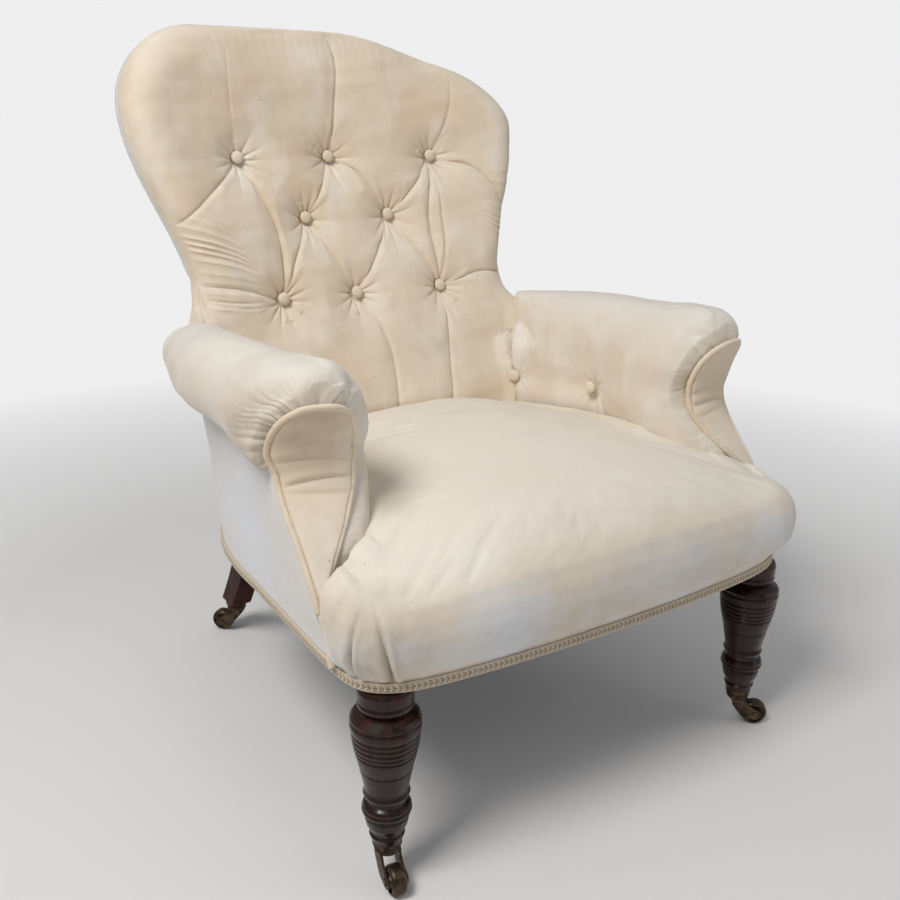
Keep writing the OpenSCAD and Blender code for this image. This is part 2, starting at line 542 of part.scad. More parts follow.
// The rear of the pad: its edge rolls over the frame, and below the waist it lies on the mitres
function rear_plane(z) = min(mid(z) + pad_back,
    post_y(z) - post_half(z) - mix(3.2, 2 * gap, smooth((z - 420) / 40)));
function rear_point(b, d, open) = let (
        z = rows[b[1]],
        x0 = column_x(b[0] - side_columns, z),
        k = rimmed(z),
        rise = b[1] == 0 && open ? 10 : 0,
        inward = b[1] == 0 ? [0, 1] : unit([-x0, b[1] == up || z > corner_z ? corner_z - z : 0]),
        rolled_in = sqrt(max(0, pow(rim_r, 2) - pow(rim_r - d, 2))),
        roll_y = mid(z) + (open ? pad_back : min(rim_r - 6, rolled_in)),
        rim = settle([x0, roll_y, z]),
        rolled = [rim[0] + inward[0] * d, rim[1] + back_lean * inward[1] * d, rim[2] + inward[1] * d],
        y1 = mix(pad_front_y(x0, z), rear_plane(z + rise), open ? 1 : d / pocket),
        side = b[0] == 0 ? -1 : b[0] == across ? 1 : 0,
        across_foot = x0 * (rise > 0 ? 1 - pocket / mitre_x(y1, z) : 1),
        mitred = [side == 0 ? across_foot : side * (mitre_x(y1, z) - (open ? pocket : 0)), y1, z + rise])
    b[1] == 0 ? mitred : mix(mitred, rolled, k);
module back_pad() color(velvet) let (
        n = len(border),
        count = (across + 1) * (up + 1),
        rings = [for (d = [4, 9, pocket]) [for (b = border) rear_point(b, d, false)]],
        last = [for (b = border) rear_point(b, pocket, true)],
        mouth = [for (p = last) let (
                z = pocket_z + (p[2] - pocket_z) * (p[2] > pocket_z ? pocket_rise : pocket_fall))
            [p[0] * 0.62, mid(z) + pad_back, z]],
        floor = [for (p = mouth) [p[0], p[1] + post_d - gap, p[2]]],
        points = concat([for (j = [0:up]) for (i = [0:across]) pad_point(i, j)],
            [for (r = rings) each r], last, mouth, floor,
            [[0, mid(pocket_z) + pad_back + post_d - gap, pocket_z]]),
        grid = [for (j = [0:up - 1]) for (i = [0:across - 1]) let (
                a = grid_index(i, j), b = a + 1, c = a + across + 1, d = c + 1,
                rising = points[a][1] + points[d][1] > points[b][1] + points[c][1])
            each (rising ? [[a, c, d], [a, d, b]] : [[a, c, b], [b, c, d]])],
        join = [for (k = [0:n - 1]) let (
                a = grid_index(border[k][0], border[k][1]),
                b = grid_index(border[(k + 1) % n][0], border[(k + 1) % n][1]),
                c = count + k, d = count + (k + 1) % n)
            each [[a, b, d], [a, d, c]]],
        pole = count + 6 * n)
    polyhedron(points, concat(grid, join, side_faces(n, 6, count),
        [for (k = [0:n - 1]) [pole, count + 5 * n + k, count + 5 * n + (k + 1) % n]]));

// Covered button: a dome whose back draws in to the tuft
module button() rotate_extrude($fn = 32) polygon([[0, 0.5], [button_d / 2, 12.5], [button_d / 2, 13.8],
    [button_d / 2 - 1.5, 15.6], [button_d / 4, 17.4], [0, 18]]);
module back_buttons() color(velvet_shade)
    for (b = buttons) translate(settle([b[0], pad_front_y(b[0], b[1]), b[1]]))
        rotate([90 - atan(back_lean), 0, 0]) button();
seam_button_z = 388;              // height of the button on the seam between arm and back
module arm_buttons(side) color(velvet_shade) both_sides(side) {
    let (s = arm_button[0], z = arm_button[1])
        translate(arm_point(arm_in(z, s), z, s)) rotate([0, -90, 0]) translate([0, 0, 0.7]) button();
    let (z = seam_button_z, x = seam(z) - 2)
        translate([x, mitre(x, z), z]) rotate([0, -90, 45]) translate([0, 0, 3]) button();
}

// Wooden frame of the back, in its leaning plane
slope = atan(back_lean);
module leaning(offset, t) translate([0, mid(0) + offset, 0]) rotate([-slope, 0, 0])
    rotate([90, 0, 0]) mirror([0, 0, 1]) linear_extrude(t) children();
crest_inset = 19;
crest_half = waist_half + 8;
crest_fall = 52;                  // fall of the arched crest towards the posts
function crest_line(x) =
    (rim_top - crest_inset - crest_fall * pow(smooth(abs(x) / bow_half), 1.3)) / cos(slope);
module crest_rail() color(beech) intersection() {
    leaning(frame_front, post_d * cos(slope)) polygon(concat(
        [for (i = [-14:14]) let (x = i * crest_half / 14) [x, crest_line(x)]],
        [[crest_half, post_top - 10], [back_foot_x - 6, post_top], [0, post_top + 26],
            [6 - back_foot_x, post_top],
         [-crest_half, post_top - 10]]));
    translate([-seat_w / 2, 0, post_top - 2]) cube([seat_w, 2 * seat_depth, 200]);
}
tuck_z = 335;
tuck_h = 34;
module tuck_rail() color(beech) difference() {
    leaning(frame_front, post_d * cos(slope)) translate([-back_foot_x - post_t, tuck_z / cos(slope)])
        square([2 * back_foot_x + 2 * post_t, tuck_h]);
    back_leg_solid(1);
    back_leg_solid(-1);
}
module back_webbing() color(canvas_tan) {
    for (x = [-130, 0, 130]) leaning(frame_front + post_d + gap / 2, web_t * cos(slope))
        translate([x - web_w / 2, (tuck_z + 6) / cos(slope)])
            square([web_w, (post_top + 20 - tuck_z) / cos(slope)]);
    for (z = [420, 530, 640]) let (half = back_foot_x + post_t + (z - castor_h) * tan(post_splay))
        leaning(frame_front + post_d + gap + web_t, (web_t - gap / 2) * cos(slope))
            translate([-half + 8, z / cos(slope)]) square([2 * half - 16, web_w]);
}

// Outside cover of the back, from the back rail up to the rolled edge. Between the arms' panels and
// the rolled edge its sides return forward round the posts, to the rear of the padding
cover_rows = concat([rail_z + gap, rail_top, 360, panel_top, panel_top + 12, 460, 480, 498, 516],
    [for (v = [0, 0.19, 0.38, 0.57, 0.73, 0.83, 0.92, 1]) mix(540, cover_top, v)]);
cover_inset = 8;
cover_steps = 14;
function cover_side(z) = back_foot_x + post_t + cloth + 2 * gap + (z - castor_h) * tan(post_splay);
function cover_half(z) = mix(cover_side(z), back_half(z) - cover_inset, smooth((z - 500) / 60));
function outline_y(x) = seat_mid_y + (seat_depth - seat_swell) *
    pow(1 - pow(min(1, abs(x) * 2 / seat_mid_w), rear_squareness), 1 / rear_squareness);
function cover_y(x, z) = max(z < 400 ? outline_y(x) : 0,
    mid(z) + frame_front + post_d + cloth + cover_room
        + cover_bulge * (1 - pow(min(1, abs(x) / bow_half), 2)) * (1 - smooth((z - cover_top + 72) / 72)));
function cover_point(x, z, depth) = let (h = z + crowned(x, z) - crowned(0, z))
    [x, cover_y(x, h) - depth, h];
// Front edge of a return, where the padding's rolled edge has not begun to cover the post
function return_point(x, z) = let (
        p = cover_point(x, z, cloth + 0.2),
        padding = mid(p[2]) + pad_back + 2 * gap + (rim_r - pad_back - 3) * rimmed(z))
    [x, mix(p[1], min(p[1], padding), smooth((z - panel_top) / 12)), p[2]];
// One level of the cover, round the outside and back along the inside
function cover_ring(z) = let (h = cover_half(z), inner = h - cloth) concat(
    [return_point(-h, z)],
    [for (i = [0:cover_steps]) cover_point(mix(-h, h, i / cover_steps), z, 0)],
    [return_point(h, z), return_point(inner, z)],
    [for (i = [cover_steps:-1:0]) cover_point(mix(-inner, inner, i / cover_steps), z, cloth)],
    [return_point(-inner, z)]);
module outside_back() color(velvet) loft([for (z = cover_rows) cover_ring(z)]);

overall_back = max([for (z = cover_rows) cover_y(0, z)]);
origin_y = -(overall_back - front_reach - seat_bulge) / 2;
echo(origin_y = origin_y);

// Seat: crown, rolled front edge that covers the front rail, and hollow for the springs
seat_hub = [0, 200];
seat_under = hessian_top + gap;
wall_gap = 0.8;
function seat_half(y) = mix(seat_w / 2, arm_inside - 9, smooth((y - front_reach) / 80));
function crown(p) = seat_top - seat_side_fall * pow(abs(p[0]) / seat_half(p[1]), 2.4) -
    (p[1] < 230 ? 20 * pow((230 - p[1]) / 220, 2.2) : 23 * pow((p[1] - 230) / 200, 2));
rear_half = arm_inside - 44;      // half the width of the seat's rear wall
apron_rear = corner_seam - 1;     // where the front cover ends beside the arm
apron_start = -atan2(seat_mid_y - apron_rear, seat_mid_w / 2);
rear_y = lean_y - 55;             // the seat's rear wall at the middle
corner_angle = -atan2(seat_mid_y + front_reach / 4, seat_mid_w / 2);
// Each point of the outline, its share of the front cover and of the bulge
seat_right = concat(
    [for (v = [0, 0.3, 0.55, 0.7, 0.8, 0.87, 0.93, 0.97]) [plan(mix(-90, corner_angle, v)), 1, 1]],
    [for (v = [0, 0.25, 0.5, 0.75, 1]) [plan(mix(corner_angle, apron_start, v)), 1, 1 - 0.5 * v * v]],
    [[plan_in(apron_start, 1), 0, 0], [[seat_w / 2 - 16, 35], 0, 0], [[seat_w / 2 - 36, 44], 0, 0],
     [[seat_w / 2 - 56, 66], 0, 0]],
    [for (s = [0.05, 0.12, 0.3, 0.5, 0.7, 0.85, 0.97])
        [[min(arm_inside + 8, arm_wall(368, s)) - wall_gap, mix(74, rear_y - 14, s)], 0, 0]],
    [for (v = [0.95, 0.7, 0.45, 0.22, 0]) [[v * rear_half, rear_y - 12 * v * v], 0, 0]]);
seat_outline = concat(seat_right,
    [for (i = [len(seat_right) - 2:-1:1]) let (q = seat_right[i]) [[-q[0][0], q[0][1]], q[1], q[2]]]);
// Distance inside the outline and height of each ring, at the front and beside the arms
b = seat_bulge;
front_rings = [[0, rail_z + gap], [0, braid_top + 1], [-0.55 * b, 258], [-0.88 * b, 273],
    [-b, 291], [-0.82 * b, 312], [-0.3 * b, 335], [12, 356], [42, 374]];
side_rings = [[0, seat_under], [0, 327], [0, 331], [0, 335], [0, 339], [1, 344], [4, 350], [14, 358],
    [36, 366]];
under_rings = [[cloth, rail_z + gap], [cloth, rail_top + 2.5], [34, rail_top + 2.5], [62, seat_under]];
under_side = [[1, seat_under], [4, seat_under], [38, seat_under], [64, seat_under]];
function toward(p, d) = p + d * unit(seat_hub - p);
function seat_point(q, front, side) = let (
        d = mix(side[0], front[0] < 0 ? front[0] * q[2] : front[0], q[1]),
        p = toward(q[0], d),
        inner = crown(toward(q[0], mix(36, 42, q[1]))),
        fz = front[1] < 291 ? front[1] : 291 + (front[1] - 291) * (inner - 291) / (374 - 291),
        sz = seat_under + (side[1] - seat_under) * (inner - seat_under) / (366 - seat_under))
    [p[0], p[1], mix(sz, fz, q[1])];
function under_point(q, front, side) = let (p = toward(q[0], mix(side[0], front[0], q[1])))
    [p[0], p[1], mix(side[1], front[1], q[1])];
module seat_cushion() color(velvet) let (
        n = len(seat_outline),
        upper = [for (k = [0.25, 0.5, 0.72]) [for (q = seat_outline) let (
                p = mix(seat_hub, toward(q[0], 40), k)) [p[0], p[1], crown(p)]]],
        outer = [for (j = [8:-1:0]) [for (q = seat_outline) seat_point(q, front_rings[j], side_rings[j])]],
        under = [for (j = [0:3]) [for (q = seat_outline) under_point(q, under_rings[j], under_side[j])]],
        rings = concat(upper, outer, under))
    polyhedron(concat([[each seat_hub, crown(seat_hub)]], [for (r = rings) each r],
        [[each seat_hub, seat_under]]), dome_faces(n, len(rings)));

// Hessian over the springs, tacked to the tops of the rails
hessian_t = 1.2;
module spring_hessian() color(canvas_tan) let (
        n = 48,
        skin = function (lift) [for (r = [
                [66, hessian_top - hessian_t], [rail_in + 2, rail_top], [14, rail_top]])
            [for (i = [0:n - 1]) [each plan_in(360 * i / n, r[0]), r[1] + lift]]],
        top = skin(hessian_t),
        low = skin(0),
        rings = concat(top, [low[2], low[1], low[0]]),
        hub = [0, seat_mid_y])
    difference() {
        polyhedron(concat([[each hub, hessian_top]], [for (r = rings) each r],
            [[each hub, hessian_top - hessian_t]]), dome_faces(n, len(rings)));
        for (side = [-1, 1]) back_leg_solid(side);
        for (side = [-1, 1]) arm_stump_solid(side);
    }

// Springs on the webbing, each an hourglass coil with a round wire
turn_steps = 8;
spring_foot = rail_z + wire_d / 2 + gap;
spring_head = hessian_top - hessian_t - wire_d / 2 - gap;
spring_pitch_x = 105;
spring_pitch_y = 120;
spring_mid_y = 250;
coil = [for (i = [0:turn_steps * spring_turns]) let (
        t = i / (turn_steps * spring_turns),
        r = mix(spring_waist_r, spring_r, pow(abs(2 * t - 1), 1.4)))
    [r * cos(360 * i / turn_steps), r * sin(360 * i / turn_steps), mix(spring_foot, spring_head, t)]];
coil_gap = min([for (i = [0:len(coil) - 1]) for (j = [i + 4:1:len(coil) - 1]) norm(coil[i] - coil[j])])
    - wire_d;
echo(least_gap_between_spring_turns = coil_gap);
module seat_springs() color("silver")
    for (i = [0:springs_across - 1]) for (j = [0:spring_rows - 1])
        translate([(i - (springs_across - 1) / 2) * spring_pitch_x,
            spring_mid_y + (j - (spring_rows - 1) / 2) * spring_pitch_y, 0])
            tube(coil, wire_d / 2, 6, [0, 0, 1]);

// Webbing under the rails, woven in two layers, and the dust cover below it
module seat_webbing() color(canvas_tan) difference() {
    webs();
    for (side = [-1, 1]) back_leg_solid(side);
}
module webs() {
    for (x = [-157, -105, -52.5, 0, 52.5, 105, 157]) web_strip() translate([x - web_w / 2, -front_reach])
        square([web_w, seat_depth]);
    for (y = [70, 130, 190, 250, 310, 370, 430]) translate([0, 0, -web_t - gap / 2]) web_strip()
        translate([-seat_w / 2, y - web_w / 2]) square([seat_w, web_w]);
}
module web_strip() translate([0, 0, rail_z - web_t]) linear_extrude(web_t) intersection() {
    polygon(plan_ring(rail_out + 8));
    children();
}
dust_z = rail_z - 2 * web_t - gap - 1.2;
module dust_cover() color([0.2, 0.18, 0.16]) translate([0, 0, dust_z]) linear_extrude(1.2 - gap / 2)
    difference() {
        polygon(plan_ring(rail_out + 3));
        for (side = [-1, 1]) {
            translate([side * leg_x, 0]) circle(d = 66, $fn = 64);
            translate([side * (foot_mid + (rail_z - castor_h) * tan(post_splay)), post_y(dust_z)])
                square([post_t + 10, 2 * post_half(dust_z) + 12], center = true);
        }
    }
module seat_braid() color([0.7, 0.62, 0.5]) plan_band(-3 * gap - braid_t, -3 * gap, rail_z + gap, braid_h);

// Castors. Each is drawn at the origin with its wheel towards +X, then turned and set under a leg
plate_t = 5;
plate_d = ankle_d - 3;
horn_top = castor_h - plate_t - gap;
horn_boss_h = 9;
head_t = 2;
cheek_t = 3;
cheek_y = wheel_w / 2 + 0.5;
axle_z = wheel_d / 2;
// Corners on the castors' legs, the turn of each wheel and which pieces belong to them
corners = [[-leg_x, 0, turn_front_left], [leg_x, 0, turn_front_right],
    [-foot_mid, post_y(castor_h), turn_back_left], [foot_mid, post_y(castor_h), turn_back_right]];
module at_corner(i) translate([corners[i][0], corners[i][1], 0]) rotate([0, 0, corners[i][2]]) children();
module castor_plate(i) color(bronze) at_corner(i) {
    translate([0, 0, castor_h - plate_t]) cylinder(d = plate_d, h = plate_t, $fn = 48);
    translate([0, 0, castor_h]) cylinder(d = stem_d - 0.2, h = stem_l - 1, $fn = 32);
    translate([0, 0, horn_top - horn_boss_h - gap]) cylinder(d = pintle_d,
        h = castor_h - horn_top + horn_boss_h, $fn = 32);
    translate([0, 0, horn_top - horn_boss_h - gap - head_t]) cylinder(d = pintle_d + 3, h = head_t,
        $fn = 32);
}
module castor_horn(i) color(bronze) at_corner(i) difference() {
    union() {
        translate([0, 0, horn_top - horn_boss_h]) rotate_extrude($fn = 48)
            polygon([[0, 0], [12, 0], [14, 3], [14, 6], [12.5, horn_boss_h], [0, horn_boss_h]]);
        for (s = [-1, 1]) translate([0, s * (cheek_y + cheek_t / 2) + cheek_t / 2, 0]) rotate([90, 0, 0])
            linear_extrude(cheek_t) cheek();
        translate([-9, -cheek_y - cheek_t / 2, horn_top - horn_boss_h]) cube([18, 2 * cheek_y + cheek_t, 4]);
    }
    translate([0, 0, 1]) cylinder(r = pintle_d / 2 + running_gap, h = castor_h, $fn = 32);
    translate([castor_trail, 0, axle_z]) rotate([90, 0, 0])
        cylinder(d = axle_d, h = 60, center = true, $fn = 32);
}
module cheek() let (z0 = horn_top - horn_boss_h) {
    translate([castor_trail, axle_z]) circle(r = 7, $fn = 48);
    polygon([[-8, z0 + 4], [-8.5, z0], [-7, z0 - 7], [-2, z0 - 14], [6, axle_z - 3],
        [castor_trail - 2.5, axle_z - 6.5], [castor_trail + 5, axle_z + 4.8],
        [castor_trail - 2, axle_z + 8], [13, z0 - 6], [10, z0], [10, z0 + 4]]);
}
module castor_axle(i) color(bronze) at_corner(i) translate([castor_trail, 0, axle_z]) rotate([90, 0, 0]) {
    cylinder(d = axle_d, h = 2 * (cheek_y + cheek_t), center = true, $fn = 32);
    for (s = [-1, 1]) translate([0, 0, s * (cheek_y + cheek_t + 0.6)])
        cylinder(d = axle_d + 3, h = 1.2, center = true, $fn = 32);
}
rim_round = 4.5;
wheel_half = wheel_w / 2;
wheel_profile = concat([[axle_d / 2 + running_gap, -wheel_half], [6, -wheel_half], [7.5, -wheel_half + 3],
        [wheel_d / 2 - 4, -wheel_half + 2]],
    [for (i = [0:5]) let (t = 18 * i) [wheel_d / 2 - rim_round + rim_round * sin(t),
        -wheel_half + rim_round - rim_round * cos(t)]],
    [for (i = [5:-1:0]) let (t = 18 * i) [wheel_d / 2 - rim_round + rim_round * sin(t),
        wheel_half - rim_round + rim_round * cos(t)]],
    [[wheel_d / 2 - 4, wheel_half - 2], [7.5, wheel_half - 3], [6, wheel_half],
     [axle_d / 2 + running_gap, wheel_half]]);
module castor_wheel(i) color(bronze) at_corner(i) translate([castor_trail, 0, axle_z])
    rotate([90, 0, 0]) rotate_extrude($fn = 64) polygon(wheel_profile);

chair() {
    front_leg(-1);  // front_leg_left
    front_leg(1);  // front_leg_right
    back_leg(-1);  // back_leg_left
    back_leg(1);  // back_leg_right
    front_rail();
    back_rail();
    side_rail(-1);  // side_rail_left
    side_rail(1);  // side_rail_right
    corner_blocks();
    arm_stump(-1);  // arm_stump_left
    arm_stump(1);  // arm_stump_right
    arm_rail(-1);  // arm_rail_left
    arm_rail(1);  // arm_rail_right
    crest_rail();
    tuck_rail();
    back_webbing();
    seat_webbing();
    seat_springs();
    spring_hessian();
    dust_cover();
    seat_cushion();
    back_pad();
    arm_pad(-1);  // arm_pad_left
    arm_pad(1);  // arm_pad_right
    arm_facing(-1);  // arm_facing_left
    arm_facing(1);  // arm_facing_right
    arm_piping(-1);  // arm_piping_left
    arm_piping(1);  // arm_piping_right
    outside_arm(-1);  // outside_arm_left
    outside_arm(1);  // outside_arm_right
    outside_back();
    seat_braid();
    back_buttons();
    arm_buttons(-1);  // arm_buttons_left
    arm_buttons(1);  // arm_buttons_right
    castor_plate(0);  // castor_plate_fl
    castor_plate(1);  // castor_plate_fr
    castor_plate(2);  // castor_plate_bl
    castor_plate(3);  // castor_plate_br
    castor_horn(0);  // castor_horn_fl
    castor_horn(1);  // castor_horn_fr
    castor_horn(2);  // castor_horn_bl
    castor_horn(3);  // castor_horn_br
    castor_axle(0);  // castor_axle_fl
    castor_axle(1);  // castor_axle_fr
    castor_axle(2);  // castor_axle_bl
    castor_axle(3);  // castor_axle_br
    castor_wheel(0);  // castor_wheel_fl
    castor_wheel(1);  // castor_wheel_fr
    castor_wheel(2);  // castor_wheel_bl
    castor_wheel(3);  // castor_wheel_br
}
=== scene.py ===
import math
import bpy
import numpy as np
from mathutils import Matrix, Vector


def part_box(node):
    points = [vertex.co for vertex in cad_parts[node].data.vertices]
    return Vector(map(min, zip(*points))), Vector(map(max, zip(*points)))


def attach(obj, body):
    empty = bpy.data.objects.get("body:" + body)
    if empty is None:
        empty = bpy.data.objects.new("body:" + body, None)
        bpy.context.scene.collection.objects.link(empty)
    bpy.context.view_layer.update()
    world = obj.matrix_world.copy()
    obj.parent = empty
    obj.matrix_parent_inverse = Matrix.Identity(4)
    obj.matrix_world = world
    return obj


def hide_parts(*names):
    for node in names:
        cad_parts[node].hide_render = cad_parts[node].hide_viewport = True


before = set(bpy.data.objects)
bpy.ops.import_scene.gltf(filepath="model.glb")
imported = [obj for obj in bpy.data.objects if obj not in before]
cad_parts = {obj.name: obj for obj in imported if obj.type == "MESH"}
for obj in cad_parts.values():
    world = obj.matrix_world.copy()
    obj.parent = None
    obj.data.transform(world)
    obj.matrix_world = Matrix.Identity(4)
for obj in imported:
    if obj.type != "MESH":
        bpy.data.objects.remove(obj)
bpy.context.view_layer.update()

# Button back armchair in pale velvet. Shapes are worked out in millimetres, with y measured from the
# axes of the front legs, and written to the meshes in metres in the frame's own place.
legLow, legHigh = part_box("front_leg_left")
axisY = (legLow.y + legHigh.y) * 500          # where the front legs' axes stand in the frame
sides = {"left": -1, "right": 1}

# Sizes of the chair's body, as in the part's source
body = dict(width=608, middleWidth=580, depth=622, swell=304, reach=44, bow=20, leanPlane=472, lean=0.3,
            cloth=3, gap=0.3, footX=176, postWidth=30, postDepth=28, splay=math.tan(math.radians(1.2)), legFoot=51)


def mix(a, b, share):
    return a + (b - a) * share


def smooth(v):
    v = np.clip(v, 0, 1)
    return v * v * (3 - 2 * v)


# From 0 at a start to 1 a width further on. A negative width goes the other way
def ramp(v, start, width):
    return smooth((v - start) / width)


# From 1 at nought down to 0 far away
def fade(v, width, power=2):
    return np.exp(-(v / width) ** power)


def table(v, pairs):
    return np.interp(v, [p[0] for p in pairs], [p[1] for p in pairs])


def leanAt(z):
    return body["leanPlane"] + body["lean"] * (z - 340)


# Plan of the covered seat frame, from -90 degrees at the front to 90 at the back
middleY = body["swell"] - body["reach"]
rearDepth = body["depth"] - body["swell"]


def planPoint(angle):
    a = np.radians(angle)
    front = np.sin(a) < 0
    power = np.where(front, 10, 2.4)
    reach = np.where(front, body["swell"], rearDepth)
    across = np.abs(np.cos(a) * 2 / body["middleWidth"]) ** power
    r = (across + np.abs(np.sin(a) / reach) ** power) ** (-1 / power)
    x = r * np.cos(a)
    forward = np.where(front, -r * np.sin(a) / body["swell"], 0)
    y = middleY + r * np.sin(a) + body["bow"] * (2 * x / body["width"]) ** 2 * forward ** 4
    return np.stack([x * (1 + (body["width"] / body["middleWidth"] - 1) * forward), y], -1)


def planInset(angle, inset):
    along = planPoint(angle + 0.1) - planPoint(angle - 0.1)
    out = np.stack([along[..., 1], -along[..., 0]], -1)
    out /= np.linalg.norm(out, axis=-1, keepdims=True)
    return planPoint(angle) - out * np.asarray(inset)[..., None]


def planHalf(y):
    t = y - middleY
    rear = np.clip(1 - (np.maximum(0, t) / rearDepth) ** 2.4, 0, 1) ** (1 / 2.4)
    ahead = mix(body["middleWidth"], body["width"], np.clip(-t / body["swell"], 0, 1)) / 2
    return np.where(t > 0, body["middleWidth"] / 2 * rear, ahead)


# Waves of cloth: a few long sine waves in fixed directions, about -1 to 1
def ripple(points, wavelength, seed, waves=7):
    picks = np.random.default_rng(seed)
    total = np.zeros(len(points))
    for _ in range(waves):
        way = picks.normal(size=3)
        way *= 2 * np.pi / (wavelength * picks.uniform(0.75, 1.5) * np.linalg.norm(way))
        total += np.sin(points @ way + picks.uniform(0, 6.28))
    return total / math.sqrt(waves)


# Meshes: points in millimetres go in and out of a piece
def toFrame(points):
    return (np.asarray(points, float) + [0, axisY, 0]) / 1000


def pointsOf(piece):
    co = np.zeros(len(piece.data.vertices) * 3)
    piece.data.vertices.foreach_get("co", co)
    return co.reshape(-1, 3) * 1000 - [0, axisY, 0]


def putPoints(piece, points):
    piece.data.vertices.foreach_set("co", toFrame(points).ravel())
    piece.data.update()


def normalsOf(piece):
    n = np.zeros(len(piece.data.vertices) * 3)
    piece.data.vertices.foreach_get("normal", n)
    return n.reshape(-1, 3)


def trianglesOf(piece):
    mesh = piece.data
    mesh.calc_loop_triangles()
    corners = np.zeros(len(mesh.loop_triangles) * 3, int)
    mesh.loop_triangles.foreach_get("vertices", corners)
    return corners.reshape(-1, 3)


def newPiece(name, points, faces):
    mesh = bpy.data.meshes.new(name)
    mesh.from_pydata([tuple(p) for p in toFrame(points)], [], faces)
    mesh.update()
    piece = bpy.data.objects.new(name, mesh)
    bpy.context.scene.collection.objects.link(piece)
    return piece


def dress(piece, part, finish, standsFor=()):
    if finish:
        piece.data.materials.clear()
        piece.data.materials.append(finish)
    piece.data.polygons.foreach_set("use_smooth", [True] * len(piece.data.polygons))
    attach(piece, part)
    if standsFor:
        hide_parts(*standsFor)
    return piece


def gridFaces(n, m, base=0, around=False):
    faces = []
    for i in range(n - 1):
        for j in range(m if around else m - 1):
            k = (j + 1) % m
            row, after = base + i * m, base + (i + 1) * m
            faces.append((row + j, row + k, after + k, after + j))
    return faces


# A panel with two faces from two grids of points, joined round the border
def panelPiece(name, outer, inner):
    n, m = outer.shape[:2]
    count = n * m
    faces = gridFaces(n, m) + [f[::-1] for f in gridFaces(n, m, count)]
    border = [(i, 0) for i in range(n)] + [(n - 1, j) for j in range(1, m)]
    border += [(i, m - 1) for i in range(n - 2, -1, -1)] + [(0, j) for j in range(m - 2, 0, -1)]
    for k in range(len(border)):
        a = border[k][0] * m + border[k][1]
        b = border[(k + 1) % len(border)][0] * m + border[(k + 1) % len(border)][1]
        faces.append((a, b, b + count, a + count))
    piece = newPiece(name, np.concatenate([outer.reshape(-1, 3), inner.reshape(-1, 3)]), faces)
    return facedOutward(piece)


def facedOutward(piece):
    faces, p = trianglesOf(piece), pointsOf(piece)
    a, b, c = (p[faces[:, k]] - p.mean(0) for k in range(3))
    if (a * np.cross(b, c)).sum() < 0:
        piece.data.flip_normals()
    return piece


# A cord of cloth along a path: rings of a given radius, closed at both ends
def tubePiece(name, path, radius, ring=14, closed=False, shapeOf=None):
    path = np.asarray(path, float)
    n = len(path)
    ahead, behind = np.roll(path, -1, 0), np.roll(path, 1, 0)
    if not closed:
        ahead[-1], behind[0] = path[-1], path[0]
    t = ahead - behind
    t /= np.linalg.norm(t, axis=1, keepdims=True)
    side = np.cross(t[0], [0.3, -1, 0.2])
    points = []
    for i in range(n):
        side = side - t[i] * side.dot(t[i])
        side /= np.linalg.norm(side)
        other = np.cross(t[i], side)
        for k in range(ring):
            turn = 2 * np.pi * k / ring
            r = radius * (shapeOf(i, turn) if shapeOf else 1)
            points.append(path[i] + r * (np.cos(turn) * side + np.sin(turn) * other))
    faces = gridFaces(n, ring, around=True)
    if closed:
        last = (n - 1) * ring
        faces += [(last + k, last + (k + 1) % ring, (k + 1) % ring, k) for k in range(ring)]
    else:
        faces += [tuple(range(ring))[::-1], tuple((n - 1) * ring + k for k in range(ring))]
    return facedOutward(newPiece(name, points, faces))


# A smooth curve through a few points, at even steps
def curveThrough(stops, step):
    stops = np.asarray(stops, float)
    ends = np.concatenate([[2 * stops[0] - stops[1]], stops, [2 * stops[-1] - stops[-2]]])
    line = []
    for i in range(len(stops) - 1):
        p0, p1, p2, p3 = ends[i:i + 4]
        for t in np.linspace(0, 1, 24, endpoint=False)[:, None]:
            squared = (2 * p0 - 5 * p1 + 4 * p2 - p3) * t ** 2
            cubed = (3 * p1 - p0 - 3 * p2 + p3) * t ** 3
            line.append(0.5 * (2 * p1 + (p2 - p0) * t + squared + cubed))
    line = np.array(line + [stops[-1]]).reshape(-1, stops.shape[1])
    gone = np.concatenate([[0], np.cumsum(np.linalg.norm(np.diff(line, axis=0), axis=1))])
    count = max(2, int(gone[-1] / step) + 1)
    even = np.linspace(0, gone[-1], count)
    return np.stack([np.interp(even, gone, line[:, k]) for k in range(line.shape[1])], -1)


def packedCopy(name, node):
    piece = bpy.data.objects.new(name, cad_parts[node].data.copy())
    bpy.context.scene.collection.objects.link(piece)
    return piece


# Faces cut into quarters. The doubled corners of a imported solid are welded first
def quartered(piece, cuts=1, welded=True):
    if welded:
        weld = piece.modifiers.new("weld", "WELD")
        weld.merge_threshold = 0.00002
    finer = piece.modifiers.new("finer", "SUBSURF")
    finer.subdivision_type = "SIMPLE"
    finer.levels = finer.render_levels = cuts
    return applied(piece)


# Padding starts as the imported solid, remeshed evenly. Thin aprons are thickened inside first
def evenCopy(name, node, voxel, thicker=None):
    piece = packedCopy(name, node)
    if thicker:
        quartered(piece)
        putPoints(piece, thicker(pointsOf(piece), normalsOf(piece)))
    remesh = piece.modifiers.new("even", "REMESH")
    remesh.mode = "VOXEL"
    remesh.voxel_size = voxel / 1000
    return applied(piece)


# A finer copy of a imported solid: its faces are cut into quarters and smoothed, time after time
def finerCopy(name, node, rounds):
    piece = packedCopy(name, node)
    for k, count in enumerate(rounds):
        quartered(piece, welded=k == 0)
        putPoints(piece, smoothed(piece, pointsOf(piece), count))
    return piece


